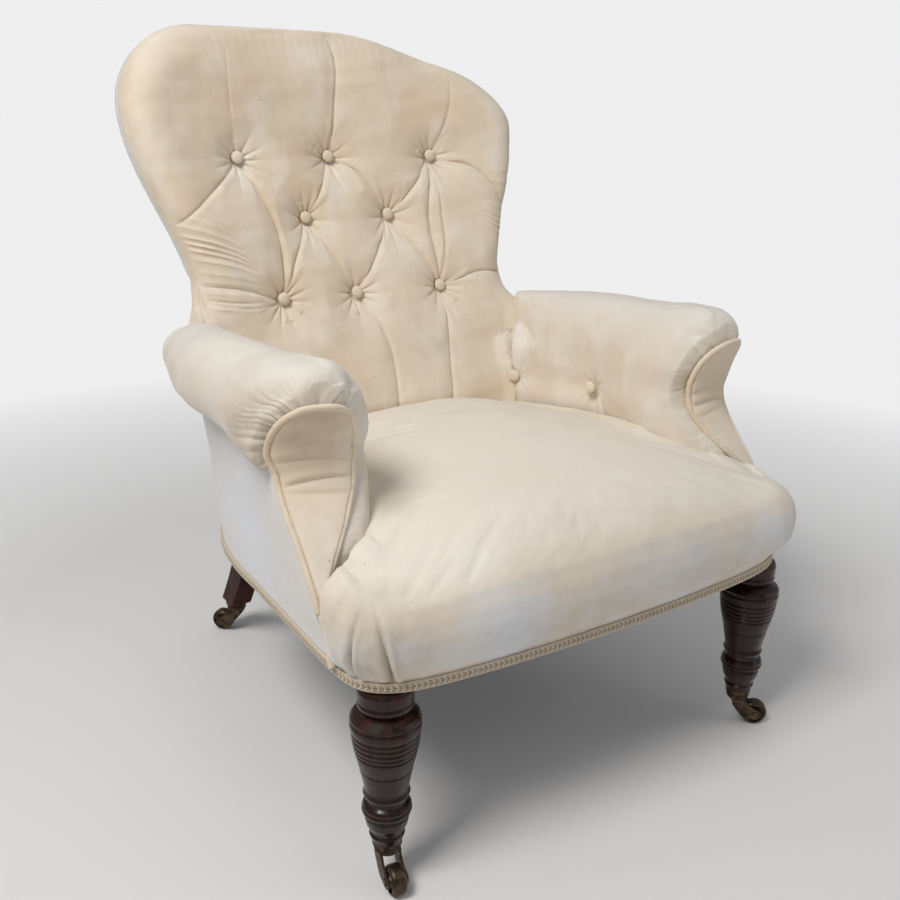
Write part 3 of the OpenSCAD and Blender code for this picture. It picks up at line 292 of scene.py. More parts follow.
def applied(piece):
    seen = piece.evaluated_get(bpy.context.evaluated_depsgraph_get())
    mesh = bpy.data.meshes.new_from_object(seen)
    mesh.name = piece.name
    piece.modifiers.clear()
    piece.data = mesh
    return piece


def subdivided(piece):
    finer = piece.modifiers.new("finer", "SUBSURF")
    finer.levels = finer.render_levels = 1
    return applied(piece)


# Faces are split where an edge's middle is wanted finer, and their neighbours to match
def refined(piece, wanted):
    faces, points = trianglesOf(piece), pointsOf(piece)
    pairs = np.sort(np.concatenate([faces[:, [0, 1]], faces[:, [1, 2]], faces[:, [2, 0]]]), axis=1)
    edges, index = np.unique(pairs, axis=0, return_inverse=True)
    middles = points[edges].mean(1)
    split = wanted(middles)
    number = np.full(len(edges), -1)
    number[split] = len(points) + np.arange(split.sum())
    halves = number[index.ravel()].reshape(3, -1).T
    count = (halves >= 0).sum(1)
    a, b, c = faces[count == 3].T
    ab, bc, ca = halves[count == 3].T
    made = [faces[count == 0]]
    made += [np.stack(f, -1) for f in ((a, ab, ca), (ab, b, bc), (ca, bc, c), (ab, bc, ca))]
    for turn in range(3):
        turnedFaces, turnedHalves = np.roll(faces, -turn, 1), np.roll(halves, -turn, 1)
        one = (count == 1) & (turnedHalves[:, 0] >= 0)
        (a, b, c), ab = turnedFaces[one].T, turnedHalves[one, 0]
        made += [np.stack(f, -1) for f in ((a, ab, c), (ab, b, c))]
        two = (count == 2) & (turnedHalves[:, 2] < 0)
        (a, b, c), (ab, bc) = turnedFaces[two].T, turnedHalves[two, :2].T
        made += [np.stack(f, -1) for f in ((ab, b, bc), (a, ab, bc), (a, bc, c))]
    mesh = bpy.data.meshes.new(piece.name)
    points = toFrame(np.concatenate([points, middles[split]]))
    mesh.from_pydata(points.tolist(), [], np.concatenate(made).tolist())
    mesh.update()
    piece.data = mesh
    return piece


# Rounds of smoothing in which a push back keeps the volume
def smoothed(piece, points, rounds, weight=1.0):
    pairs = np.zeros(len(piece.data.edges) * 2, int)
    piece.data.edges.foreach_get("vertices", pairs)
    a, b = pairs.reshape(-1, 2).T
    n = len(points)
    count = np.bincount(a, minlength=n) + np.bincount(b, minlength=n)
    weight = np.broadcast_to(weight, n)
    for turn in range(2 * rounds):
        push = 0.5 if turn % 2 == 0 else -0.52
        step = np.empty_like(points)
        for k in range(3):
            total = np.bincount(a, points[b, k], n) + np.bincount(b, points[a, k], n)
            step[:, k] = total / count - points[:, k]
        points = points + push * step * weight[:, None]
    return points


# Short cloth simulation: pressure fills the cover, pinned points stay.
fill = dict(frames=20, quality=5, mass=0.3, stretch=15, shear=8, bend=0.5)


def plumped(piece, loose, pressure, most):
    before = pointsOf(piece)
    pins = piece.vertex_groups.new(name="pins")
    for level in range(11):
        chosen = np.nonzero(np.round((1 - loose) * 10) == level)[0]
        pins.add([int(i) for i in chosen], level / 10, "REPLACE")
    cloth = piece.modifiers.new("fill", "CLOTH")
    s = cloth.settings
    s.quality = fill["quality"]
    s.mass = fill["mass"]
    s.tension_stiffness = s.compression_stiffness = fill["stretch"]
    s.shear_stiffness = fill["shear"]
    s.bending_stiffness = fill["bend"]
    s.use_pressure = True
    s.uniform_pressure_force = pressure
    s.effector_weights.gravity = 0
    s.vertex_group_mass = "pins"
    scene = bpy.context.scene
    scene.frame_start, scene.frame_end = 1, fill["frames"]
    for f in range(1, fill["frames"] + 1):
        scene.frame_set(f)
    applied(piece)
    scene.frame_set(1)
    moved = pointsOf(piece) - before
    far = np.linalg.norm(moved, axis=1, keepdims=True)
    putPoints(piece, before + moved * np.minimum(1, most / np.maximum(far, 1e-6)) * loose[:, None])
    piece.vertex_groups.clear()
    return piece


# Materials
def shader(name):
    finish = bpy.data.materials.new(name)
    finish.use_nodes = True
    tree = finish.node_tree
    return finish, tree, tree.nodes["Principled BSDF"]


def add(tree, kind, **settings):
    node = tree.nodes.new(kind)
    for key, value in settings.items():
        if key in node.inputs:
            node.inputs[key].default_value = value
        else:
            setattr(node, key, value)
    return node


def placeOf(tree, scale=(1, 1, 1)):
    where = add(tree, "ShaderNodeTexCoord")
    spread = add(tree, "ShaderNodeMapping")
    spread.inputs["Scale"].default_value = scale
    tree.links.new(where.outputs["Object"], spread.inputs["Vector"])
    return spread.outputs["Vector"]


def noise(tree, where, scale, detail=2.0, rough=0.5):
    node = add(tree, "ShaderNodeTexNoise", Scale=scale, Detail=detail, Roughness=rough)
    tree.links.new(where, node.inputs["Vector"])
    return node.outputs["Fac"]


def spread(tree, value, low, high, toLow=0.0, toHigh=1.0):
    node = add(tree, "ShaderNodeMapRange", clamp=True)
    tree.links.new(value, node.inputs["Value"])
    for key, v in (("From Min", low), ("From Max", high), ("To Min", toLow), ("To Max", toHigh)):
        node.inputs[key].default_value = v
    return node.outputs["Result"]


# Each socket gets a link or a plain value
def plug(tree, *pairs):
    for value, socket in pairs:
        if hasattr(value, "links"):
            tree.links.new(value, socket)
        else:
            socket.default_value = value


def blendColour(tree, share, a, b):
    node = add(tree, "ShaderNodeMix", data_type="RGBA")
    plug(tree, (share, node.inputs[0]), (a, node.inputs[6]), (b, node.inputs[7]))
    return node.outputs[2]


def sums(tree, a, b, way="MULTIPLY"):
    node = add(tree, "ShaderNodeMath", operation=way)
    plug(tree, (a, node.inputs[0]), (b, node.inputs[1]))
    return node.outputs[0]


def bumped(tree, bsdf, layers):
    last = None
    for height, strength, distance in layers:
        node = add(tree, "ShaderNodeBump", Strength=strength, Distance=distance)
        tree.links.new(height, node.inputs["Height"])
        if last:
            tree.links.new(last, node.inputs["Normal"])
        last = node.outputs["Normal"]
    tree.links.new(last, bsdf.inputs["Normal"])


# The pale colour serves both the paler patches of the pile and the painted top light on faces that look up
velvetLook = dict(cream=(0.82, 0.71, 0.56, 1), peach=(0.76, 0.62, 0.46, 1), paleTone=(0.90, 0.86, 0.77, 1),
                  cool=(0.76, 0.81, 0.88, 1), soiled=(0.45, 0.38, 0.29, 1), speck=(0.34, 0.24, 0.16, 1))


# Spots are soiled places: (x, y, z) in millimetres, reach and strength
def velvetFinish(name, coolness=0.0, soil=0.35, warmth=0.0, uprightShadeStrength=0.0, topLightStrength=0.4, blotch=1.0, spots=()):
    finish, tree, bsdf = shader(name)
    look = velvetLook
    where = placeOf(tree)
    broad = spread(tree, noise(tree, where, 5.0, 3), 0.36 - warmth * 0.2, 0.66 - warmth * 0.2, 0, blotch)
    colour = blendColour(tree, broad, look["cream"], look["peach"])
    paleTone = spread(tree, noise(tree, placeOf(tree, (1, 1, 0.45)), 17.0, 3, 0.6), 0.50, 0.72, 0, 0.55)
    colour = blendColour(tree, paleTone, colour, look["paleTone"])
    # Painted top light: faces that look up are mixed toward the pale colour
    faceNormal = add(tree, "ShaderNodeNewGeometry").outputs["Normal"]
    apart = add(tree, "ShaderNodeSeparateXYZ")
    tree.links.new(faceNormal, apart.inputs[0])
    paintedTopLight = spread(tree, apart.outputs["Z"], 0.2, 0.85, 0, topLightStrength)
    colour = blendColour(tree, paintedTopLight, colour, look["paleTone"])
    # Painted cool shade: upright and downward faces are mixed toward the cool colour, broken up by noise
    if uprightShadeStrength:
        paintedUprightShade = sums(tree, spread(tree, apart.outputs["Z"], 0.62, 0.1), uprightShadeStrength)
        paintedUprightShade = sums(tree, paintedUprightShade, spread(tree, noise(tree, where, 8.0, 3, 0.6), 0.36, 0.58, 0.25, 1.0))
        colour = blendColour(tree, paintedUprightShade, colour, look["cool"])
    if coolness:
        patch = spread(tree, noise(tree, where, 4.0, 2), 0.35, 0.65, coolness * 0.6, coolness)
        colour = blendColour(tree, patch, colour, look["cool"])
    worn = sums(tree, spread(tree, noise(tree, where, 9.0, 4, 0.6), 0.56, 0.74), soil)
    colour = blendColour(tree, worn, colour, look["soiled"])
    for place, reach, strength in spots:
        far = add(tree, "ShaderNodeVectorMath", operation="DISTANCE")
        tree.links.new(placeOf(tree), far.inputs[0])
        far.inputs[1].default_value = tuple(toFrame(place))
        near = spread(tree, far.outputs["Value"], reach / 1000, reach / 3500, 0, strength)
        near = sums(tree, near, spread(tree, noise(tree, where, 26.0, 4, 0.65), 0.34, 0.62, 0.35, 1.0))
        colour = blendColour(tree, near, colour, look["soiled"])
    specks = spread(tree, noise(tree, where, 230.0, 1), 0.775, 0.81, 0, 0.5)
    colour = blendColour(tree, specks, colour, look["speck"])
    pile = noise(tree, placeOf(tree, (1, 1, 0.6)), 1300.0, 2)
    colour = blendColour(tree, spread(tree, pile, 0.3, 0.7, 0, 0.16), colour, (0.45, 0.36, 0.28, 1))
    tree.links.new(colour, bsdf.inputs["Base Color"])
    tree.links.new(spread(tree, paleTone, 0, 0.55, 0.92, 0.72), bsdf.inputs["Roughness"])
    bsdf.inputs["Specular IOR Level"].default_value = 0.2
    bsdf.inputs["Sheen Weight"].default_value = 0.28
    bsdf.inputs["Sheen Roughness"].default_value = 0.38
    bsdf.inputs["Sheen Tint"].default_value = (0.98, 0.94, 0.90, 1)
    bumped(tree, bsdf, [(noise(tree, where, 70.0, 3, 0.6), 0.35, 0.0012), (pile, 0.5, 0.00022)])
    return finish


def mahoganyFinish(name, polish):
    finish, tree, bsdf = shader(name)
    along = placeOf(tree, (60, 60, 5))
    grain = noise(tree, along, 3.0, 5, 0.62)
    pale = (0.034, 0.009, 0.005, 1) if polish else (0.085, 0.014, 0.005, 1)
    colour = blendColour(tree, spread(tree, grain, 0.35, 0.68), (0.006, 0.0025, 0.002, 1), pale)
    worn = spread(tree, noise(tree, placeOf(tree), 42.0, 3), 0.60, 0.76, 0, 0.6)
    colour = blendColour(tree, worn, colour, (0.075, 0.024, 0.012, 1))
    tree.links.new(colour, bsdf.inputs["Base Color"])
    rough = spread(tree, noise(tree, placeOf(tree), 30.0, 3), 0.3, 0.7, 0.20, 0.40)
    tree.links.new(rough, bsdf.inputs["Roughness"])
    bsdf.inputs["Specular IOR Level"].default_value = 0.03 + 0.2 * polish
    bsdf.inputs["Coat Weight"].default_value = 0.28 * polish
    bsdf.inputs["Coat Roughness"].default_value = 0.07
    bumped(tree, bsdf, [(grain, 0.18, 0.0005), (noise(tree, placeOf(tree), 210.0, 2), 0.12, 0.0004)])
    return finish


def bronzeFinish():
    finish, tree, bsdf = shader("castorBronze")
    tarnish = noise(tree, placeOf(tree), 90.0, 4, 0.65)
    dulled = spread(tree, tarnish, 0.35, 0.65)
    colour = blendColour(tree, dulled, (0.13, 0.09, 0.055, 1), (0.028, 0.021, 0.017, 1))
    tree.links.new(colour, bsdf.inputs["Base Color"])
    tree.links.new(spread(tree, tarnish, 0.3, 0.7, 0.30, 0.58), bsdf.inputs["Roughness"])
    bsdf.inputs["Metallic"].default_value = 0.9
    bumped(tree, bsdf, [(tarnish, 0.25, 0.0006), (noise(tree, placeOf(tree), 700.0, 2), 0.2, 0.0001)])
    return finish


def woodFinish(name, pale, dark, along):
    finish, tree, bsdf = shader(name)
    grain = noise(tree, placeOf(tree, along), 4.0, 6, 0.6)
    colour = blendColour(tree, spread(tree, grain, 0.3, 0.7), pale, dark)
    tree.links.new(colour, bsdf.inputs["Base Color"])
    bsdf.inputs["Roughness"].default_value = 0.62
    bumped(tree, bsdf, [(grain, 0.3, 0.0006)])
    return finish


def weaveFinish(name, thread, shade, pitch):
    finish, tree, bsdf = shader(name)
    heights = []
    for way in ("X", "Y"):
        wave = add(tree, "ShaderNodeTexWave", bands_direction=way, Scale=0.314 / pitch, Distortion=0.6)
        tree.links.new(placeOf(tree), wave.inputs["Vector"])
        heights.append(wave.outputs["Fac"])
    weave = sums(tree, heights[0], heights[1], "MAXIMUM")
    colour = blendColour(tree, weave, shade, thread)
    worn = spread(tree, noise(tree, placeOf(tree), 60.0, 3), 0.4, 0.7, 0, 0.4)
    colour = blendColour(tree, worn, colour, shade)
    tree.links.new(colour, bsdf.inputs["Base Color"])
    bsdf.inputs["Roughness"].default_value = 0.9
    bumped(tree, bsdf, [(weave, 0.6, 0.0005)])
    return finish


def threadFinish(name, pale, dark):
    finish, tree, bsdf = shader(name)
    strand = noise(tree, placeOf(tree), 900.0, 2)
    colour = blendColour(tree, spread(tree, strand, 0.3, 0.7), pale, dark)
    tree.links.new(colour, bsdf.inputs["Base Color"])
    bsdf.inputs["Roughness"].default_value = 0.75
    bsdf.inputs["Sheen Weight"].default_value = 0.2
    bumped(tree, bsdf, [(strand, 0.5, 0.0002)])
    return finish


def steelFinish():
    finish, tree, bsdf = shader("springWire")
    rust = spread(tree, noise(tree, placeOf(tree), 40.0, 4), 0.45, 0.7)
    colour = blendColour(tree, rust, (0.42, 0.42, 0.43, 1), (0.20, 0.12, 0.08, 1))
    tree.links.new(colour, bsdf.inputs["Base Color"])
    tree.links.new(spread(tree, rust, 0, 1, 0.32, 0.7), bsdf.inputs["Roughness"])
    bsdf.inputs["Metallic"].default_value = 0.9
    return finish


# Every velvet gets painted top light on faces that look up; the seat and the arms get more of it
velvet = velvetFinish("velvetPale", soil=0.3)
# The seat's upright and downward faces also get painted cool shade
seatVelvet = velvetFinish("velvetSeat", soil=0.2, uprightShadeStrength=0.8, topLightStrength=0.75, blotch=0.6,
                          spots=[((-290, -20, 290), 70, 0.6), ((290, -25, 290), 60, 0.3),
                                 ((-60, -48, 250), 150, 0.32), ((140, -44, 250), 130, 0.3)])
armVelvet = velvetFinish("velvetArm", coolness=0.3, soil=0.25, topLightStrength=0.6, blotch=0.8,
                         spots=[((-322, 130, 436), 85, 0.75), ((318, 130, 440), 70, 0.3)])
outsideVelvet = velvetFinish("velvetOutside", coolness=0.9, soil=0.12)
facingVelvet = velvetFinish("velvetFacing", soil=0.3, warmth=0.2, spots=[((-290, 90, 462), 60, 0.55)])
pipingVelvet = velvetFinish("velvetPiping", soil=0.5, warmth=0.4)
mahogany = mahoganyFinish("polishedMahogany", 1.0)
dullMahogany = mahoganyFinish("dullMahogany", 0.0)
bronze = bronzeFinish()
beech = woodFinish("beechFrame", (0.50, 0.33, 0.18, 1), (0.36, 0.21, 0.10, 1), (4, 4, 30))
jute = weaveFinish("juteWeave", (0.42, 0.31, 0.18, 1), (0.22, 0.15, 0.08, 1), 0.0016)
strapJute = weaveFinish("strapWeave", (0.46, 0.34, 0.20, 1), (0.26, 0.18, 0.10, 1), 0.0022)
blackCloth = weaveFinish("dustCloth", (0.035, 0.032, 0.030, 1), (0.012, 0.011, 0.010, 1), 0.0011)
wire = steelFinish()
braidPale = threadFinish("braidPale", (0.70, 0.60, 0.46, 1), (0.52, 0.42, 0.30, 1))
braidDark = threadFinish("braidDark", (0.42, 0.36, 0.28, 1), (0.30, 0.24, 0.18, 1))
print("materials made")

# Padded back
back = dict(foot=330, top=868, crown=4, rim=50, settled=42, waist=510, waistHalf=238, shoulderHalf=299,
            cornerRadius=110, tuft=33, tuftWidth=27, pleat=10, valley=15, crease=6.2, creaseWidth=1.8,
            overFrame=11, faceReach=60)
# Where the padded face lies: height and y, up the middle and up the edge
centreLine = [[330, 420], [372, 423], [450, 460], [525, 495], [615, 538], [700, 572], [760, 589], [800, 599],
              [864, 625]]
edgeLine = [[330, 406], [388, 428], [440, 458], [490, 477], [523, 482], [750, 545], [864, 582]]
rimTop = back["top"] - back["crown"]
cornerZ = rimTop - back["cornerRadius"]


# Where the back pad and the arm pads meet
def mitreX(y, z):
    return np.minimum(y - 164 - 0.134 * z, mix(210, 264, ramp(z, 430, 34)))


def seamX(z):
    return mitreX(table(z, edgeLine), z)


# Half the back's width at a height, and how far inside its outline a place lies
def backHalf(z):
    radius = back["cornerRadius"]
    above = np.maximum(0, z - cornerZ)
    rounded = back["shoulderHalf"] - radius + np.sqrt(np.maximum(0, radius ** 2 - above ** 2))
    rise = (1 - np.cos(np.pi * np.clip((z - back["waist"]) / (cornerZ - back["waist"]), 0, 1))) / 2
    upper = mix(back["waistHalf"], back["shoulderHalf"], rise)
    return np.where(z > cornerZ, rounded, mix(seamX(z), upper, ramp(z, 478, 42)))


def edgeDistance(x, z):
    corner = back["shoulderHalf"] - back["cornerRadius"]
    rounded = back["cornerRadius"] - np.hypot(np.abs(x) - corner, z - cornerZ)
    straight = np.minimum(backHalf(z) - np.abs(x), rimTop - z)
    return np.where((np.abs(x) > corner) & (z > cornerZ), rounded, straight)


# The top is crowned, and settled over the right shoulder
def crownedZ(x, z):
    lift = back["crown"] * (1 - (x / back["shoulderHalf"]) ** 2)
    lift = lift * ramp(z, cornerZ, back["cornerRadius"])
    return z + lift - back["settled"] * smooth(x / 230) ** 1.3 * ramp(z, 696, rimTop - 696)


def paddedY(x, z):
    return mix(table(z, centreLine), table(z, edgeLine), (np.abs(x) / backHalf(z)) ** 2)


# Places of the covered buttons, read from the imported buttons
def clustersOf(node, reach):
    left = pointsOf(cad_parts[node])
    found = []
    while len(left):
        near = np.linalg.norm(left - left[0], axis=1) < reach
        for _ in range(3):
            middle = (left[near].min(0) + left[near].max(0)) / 2
            near = np.linalg.norm(left - middle, axis=1) < reach
        found.append(middle)
        left = left[~near]
    return found


backButtons = sorted(clustersOf("back_buttons", 22), key=lambda c: (-round(c[2] / 40), c[0]))
knots = [(c[0], c[2] - 4) for c in backButtons]      # where each tuft is tied, left to right, top to bottom
print("buttons found:", len(knots))

# Pleats as lines of (x, z), with a share of depth at the start and at the end, and the width of the fold
pleats = [
    ([knots[1], knots[3]], 1, 1, 1),
    ([knots[1], (26, 678), knots[4]], 1, 1, 1),
    ([knots[2], knots[4]], 1, 1, 1),
    ([knots[3], (-101, 565), knots[5]], 0.9, 0.9, 0.9),
    ([knots[3], knots[6]], 1, 1, 1),
    ([knots[4], knots[6]], 1, 1, 1),
    ([knots[4], (97, 566), knots[7]], 1, 1, 1),
    ([knots[0], (-124, 629), (-118, 580), knots[5]], 1, 1, 1),
    ([knots[2], (126, 610), knots[7]], 1, 0.9, 0.8),
    ([knots[2], (146, 600), (134, 545), knots[7]], 0.5, 0.5, 0.7),
    ([knots[1], (6, 776), (15, 835), (-6, 880)], 1, 0.35, 0.9),
    ([knots[2], (184, 779), (196, 850)], 0.8, 0.1, 1.2),
    ([knots[0], (-158, 760), (-152, 840)], 0.45, 0.05, 1.3),
    ([knots[0], (-208, 655), (-285, 600)], 1, 0.45, 1),
    ([knots[2], (220, 678), (275, 600)], 1, 0.8, 1),
    ([knots[5], (-190, 536), (-262, 545)], 1, 0.5, 1),
    ([knots[5], (-180, 512), (-262, 526)], 0.7, 0.4, 0.7),
    ([knots[7], (188, 534), (250, 528)], 1, 0.7, 1),
    ([knots[6], (10, 467), (14, 417), (4, 345)], 1, 0.6, 0.9),
    ([knots[7], (118, 456), (107, 403), (94, 345)], 1, 0.6, 0.9),
    ([knots[5], (-116, 470), (-97, 420)], 0.6, 0.05, 1.3),
]


# Small gathers along the edge: from and to which height, on which side, depth, length inward, spacing
# and the knot they fan from
edgeGathers = [(505, 645, -1, 2.6, 60, 13, 5), (640, 760, -1, 0.6, 22, 13, 0), (560, 690, 1, 1.8, 40, 12, 2),
               (690, 770, 1, 0.6, 20, 12, 2)]
topGathers = dict(depth=0.45, length=20, spacing=13)
sewnSeam = [(-134, 508), (-146, 515), (-184, 519), (-224, 524), (-262, 530)]


# Distance from a line of places, how far along it, and on which side
def alongLine(p, path, reach):
    near, share, side = np.full(len(p), 1e9), np.zeros(len(p)), np.zeros(len(p))
    box = np.nonzero(((p > path.min(0) - reach) & (p < path.max(0) + reach)).all(1))[0]
    q = p[box]
    best = np.full(len(q), 1e9)
    for i in range(len(path) - 1):
        d = path[i + 1] - path[i]
        long = d.dot(d)
        t = np.clip((q - path[i]) @ d / long, 0, 1)
        off = q - path[i] - t[:, None] * d
        dist = np.linalg.norm(off, axis=1)
        closer = dist < best
        best[closer] = dist[closer]
        share[box[closer]] = (i + t[closer]) / (len(path) - 1)
        side[box[closer]] = (d[0] * off[closer, 1] - d[1] * off[closer, 0]) / math.sqrt(long)
    near[box] = best
    return near, share, side


pleatPaths = [(curveThrough(line, 4.0), first, last, width) for line, first, last, width in pleats]
seamPath = curveThrough(sewnSeam, 4.0)


# Where the folds need a finer mesh
def nearFolds(points, reach):
    x, z = points[:, 0], rawHeight(points[:, 0], points[:, 2])
    p = np.stack([x, z], -1)
    near = alongLine(p, seamPath, reach)[0] < reach
    for low, high, side, _, length, _, _ in edgeGathers[::2]:
        level = (z > low) & (z < high) & (points[:, 1] < leanAt(z) + 4)
        near |= level & (x * side > 60) & (edgeDistance(x, z) < length * 1.2)
    for knot in knots:
        near |= np.linalg.norm(p - knot, axis=1) < 4.6 * reach
    for path, _, _, _ in pleatPaths:
        near |= alongLine(p, path, reach)[0] < reach
    return near & (points[:, 1] < leanAt(points[:, 2]) + 4)


# How far the tufts and pleats draw the velvet in, and how far the folds beside them stand out
def drawnIn(x, z):
    p = np.stack([x, z], -1)
    pulled = np.zeros(len(x))
    for k, knot in enumerate(knots):
        r = np.linalg.norm(p - knot, axis=1)
        turn = np.arctan2(p[:, 1] - knot[1], p[:, 0] - knot[0])
        dimple = back["tuft"] * fade(r, back["tuftWidth"], 1.2)
        folds = 1 - 2 * np.abs(np.sin(5.5 * turn + 2.1 * k + 0.8 * np.sin(2 * turn + k))) ** 0.6
        gathers = 2.7 * folds * fade(r, 29) * ramp(r, 5, 9)
        pulled = np.maximum(pulled, dimple + gathers)
    valleys, lips = np.zeros(len(x)), np.zeros(len(x))
    for path, first, last, width in pleatPaths:
        near, share, side = alongLine(p, path, 60)
        strength = mix(first, last, share) * (0.62 + 0.38 * np.abs(2 * share - 1) ** 1.5)
        strength *= ramp(share, 1.02, -0.12) if last < 0.2 else 1.0
        valley = back["pleat"] * fade(near, back["valley"] * width, 1.5)
        crease = back["crease"] * fade(near, back["creaseWidth"], 1.2)
        valleys = np.maximum(valleys, strength * (valley + crease))
        lip = strength * 1.3 * fade(side - 6 * width, 4 * width)
        lips = np.maximum(lips, lip * (near < 25))
    near, share, side = alongLine(p, seamPath, 60)
    sewn = 2.6 * fade(near, 2.2, 1.2) - 2.2 * fade(side - 6, 5) * (near < 25)
    valleys = valleys + sewn * smooth(share / 0.1)
    drawn = np.maximum(pulled, valleys) + 0.25 * np.minimum(pulled, valleys)
    # Above the frame's hollow the stuffing is thin
    depth = mix(60, back["overFrame"], ramp(z, 712, 40))
    return depth * np.tanh(drawn / depth) - lips + gatheredEdge(x, z)


def gatheredEdge(x, z):
    inside = edgeDistance(x, z)
    total = np.zeros(len(x))
    for low, high, side, depth, length, spacing, knot in edgeGathers:
        here = ramp(z, low, 25) * ramp(z, high, -25) * (x * side > 60)
        kx, kz = knots[knot]
        share = (backHalf(z) - abs(kx)) / np.maximum(40, np.abs(x) - abs(kx))
        fanned = kz + (z - kz) * mix(1, share, 0.3)
        here *= ramp(np.abs(x) - abs(kx), 8, 40)
        turn = np.pi * fanned / spacing + 1.1 * np.sin(fanned / 19) + 0.6 * np.sin(fanned / 7.3)
        wave = 1 - 2 * np.abs(np.sin(turn)) ** 0.7
        uneven = 0.75 + 0.45 * np.sin(fanned / 13.7 + 2.0)
        total -= depth * here * wave * uneven * np.exp(-inside / length) * smooth(inside / 6)
    here = ramp(z, 800, 25) * ramp(np.abs(x), 225, -30)
    wave = np.sin(2 * np.pi * x / topGathers["spacing"] + 1.6 * np.sin(x / 31))
    inward = np.exp(-inside / topGathers["length"])
    return total + topGathers["depth"] * here * wave * inward * smooth(inside / 5)


# The height before the crowning and the settling
def rawHeight(x, zSeen):
    z = zSeen.copy()
    for _ in range(6):
        z = z - (crownedZ(x, z) - zSeen)
    return z


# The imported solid's front is moved to the padded face, and how much of that each point takes
def backFace(piece, points, tufts):
    normals = normalsOf(piece)
    x = points[:, 0]
    z = rawHeight(x, points[:, 2])
    y = paddedY(x, z) + (drawnIn(x, z) if tufts else 0)
    inside = edgeDistance(x, z)
    rolled = mix(leanAt(z), y, np.sqrt(np.clip(1 - (1 - np.clip(inside / back["rim"], 0, 1)) ** 2, 0, 1)))
    rimmed = ramp(z, 478, 60)
    y = mix(y, rolled, rimmed) + leanAt(points[:, 2]) - leanAt(z)
    share = ramp(-normals[:, 1], 0.12, 0.3) * ramp(np.abs(points[:, 1] - y), back["faceReach"], -12)
    share *= mix(1, smooth(inside / 9), rimmed) * ramp(points[:, 2], 338, 20)
    points = points.copy()
    points[:, 1] = mix(points[:, 1], y, share)
    return points, share


def makeBack():
    piece = finerCopy("backPadding", "back_pad", (2, 3))
    points, _ = backFace(piece, pointsOf(piece), False)
    putPoints(piece, points)
    subdivided(piece)
    refined(piece, lambda p: nearFolds(p, 12))
    refined(piece, lambda p: nearFolds(p, 7))
    points, share = backFace(piece, pointsOf(piece), True)
    points[:, 1] -= share * (1.6 * ripple(points, 120, 5) + 0.35 * ripple(points, 26, 6))
    putPoints(piece, points)
    seam = ramp(np.abs(points[:, 0]) - mitreX(points[:, 1], points[:, 2]), -26, 22)
    seam *= ramp(points[:, 2], 500, -30)
    seam *= 5 + 2 * ramp(points[:, 2], 372, 30) * ramp(points[:, 2], 462, -30)
    putPoints(piece, points + normalsOf(piece) * seam[:, None])
    dress(piece, "chair", velvet, ["back_pad"])
    return piece


print("back padded:", len(makeBack().data.vertices))

# Seat
seat = dict(voxel=4.2, thicker=4.5, cornerFill=9, leftShare=0.45, foot=243, besideArm=17, foldReach=30,
            evenStep=6.0, evenRounds=9, evenCells=120)
# Folds on the front corners: angle in the plan, lean to the side per mm of height, depth
cornerFolds = [(-136.4, -0.12, 10.0), (-131.2, 0.2, 10.5), (-45, -0.12, 7.0)]


# Where a fold of the corner runs: distance from its line, and whether the place is near it
def cornerFold(points, angle, lean):
    at = planPoint(angle)
    ahead = planPoint(angle + 0.5) - at
    ahead /= np.linalg.norm(ahead)
    away = points[:, :2] - at
    across = away @ ahead + lean * (points[:, 2] - seat["foot"])
    here = fade(np.linalg.norm(away, axis=1), seat["foldReach"], 4)
    return across, here * ramp(points[:, 2], 336, -70) * ramp(points[:, 2] - seat["foot"], -2, 8)


# The seat's top as a blurred height over a grid of the plan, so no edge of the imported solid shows
def evenTop(points, normals):
    use = (normals[:, 2] > 0.25) & (points[:, 2] > 318)
    place = (points[:, :2] + [340, 80]) / seat["evenStep"]
    cell = np.round(place).astype(int)
    cells = seat["evenCells"]
    total, count = np.zeros((cells, cells)), np.zeros((cells, cells))
    np.add.at(total, tuple(cell[use].T), points[use, 2])
    np.add.at(count, tuple(cell[use].T), 1)
    total, count = total / np.maximum(count, 1), np.minimum(count, 1)
    for _ in range(seat["evenRounds"]):
        for axis in (0, 1):
            total = total / 2 + (np.roll(total, 1, axis) + np.roll(total, -1, axis)) / 4
            count = count / 2 + (np.roll(count, 1, axis) + np.roll(count, -1, axis)) / 4
    height = total / np.maximum(count, 1e-6)
    i, j = np.clip(np.floor(place).astype(int), 0, cells - 2).T
    u, v = (place - np.floor(place)).T
    even = mix(mix(height[i, j], height[i + 1, j], u), mix(height[i, j + 1], height[i + 1, j + 1], u), v)
    share = ramp(normals[:, 2], 0.25, 0.35) * ramp(points[:, 2], 318, 12)
    return even, share


# The apron's inner face moves inward, and the thin tips beside the facings grow all round
def thickened(points, normals):
    out = points * [1, 1, 0] - [0, 160, 0]
    out /= np.linalg.norm(out, axis=1, keepdims=True)
    flat = normals * [1, 1, 0]
    flat /= np.maximum(0.2, np.linalg.norm(flat, axis=1, keepdims=True))
    inside = ((flat * out).sum(1) < -0.05) & (points[:, 2] < 350)
    x, y, z = np.abs(points[:, 0]), points[:, 1], points[:, 2]
    tip = ramp(x, 226, 14) * ramp(y, 20, 14) * ramp(y, 88, -14) * ramp(z, 288, 14)
    return points + seat["thicker"] * flat * inside[:, None] + 5 * normals * tip[:, None]


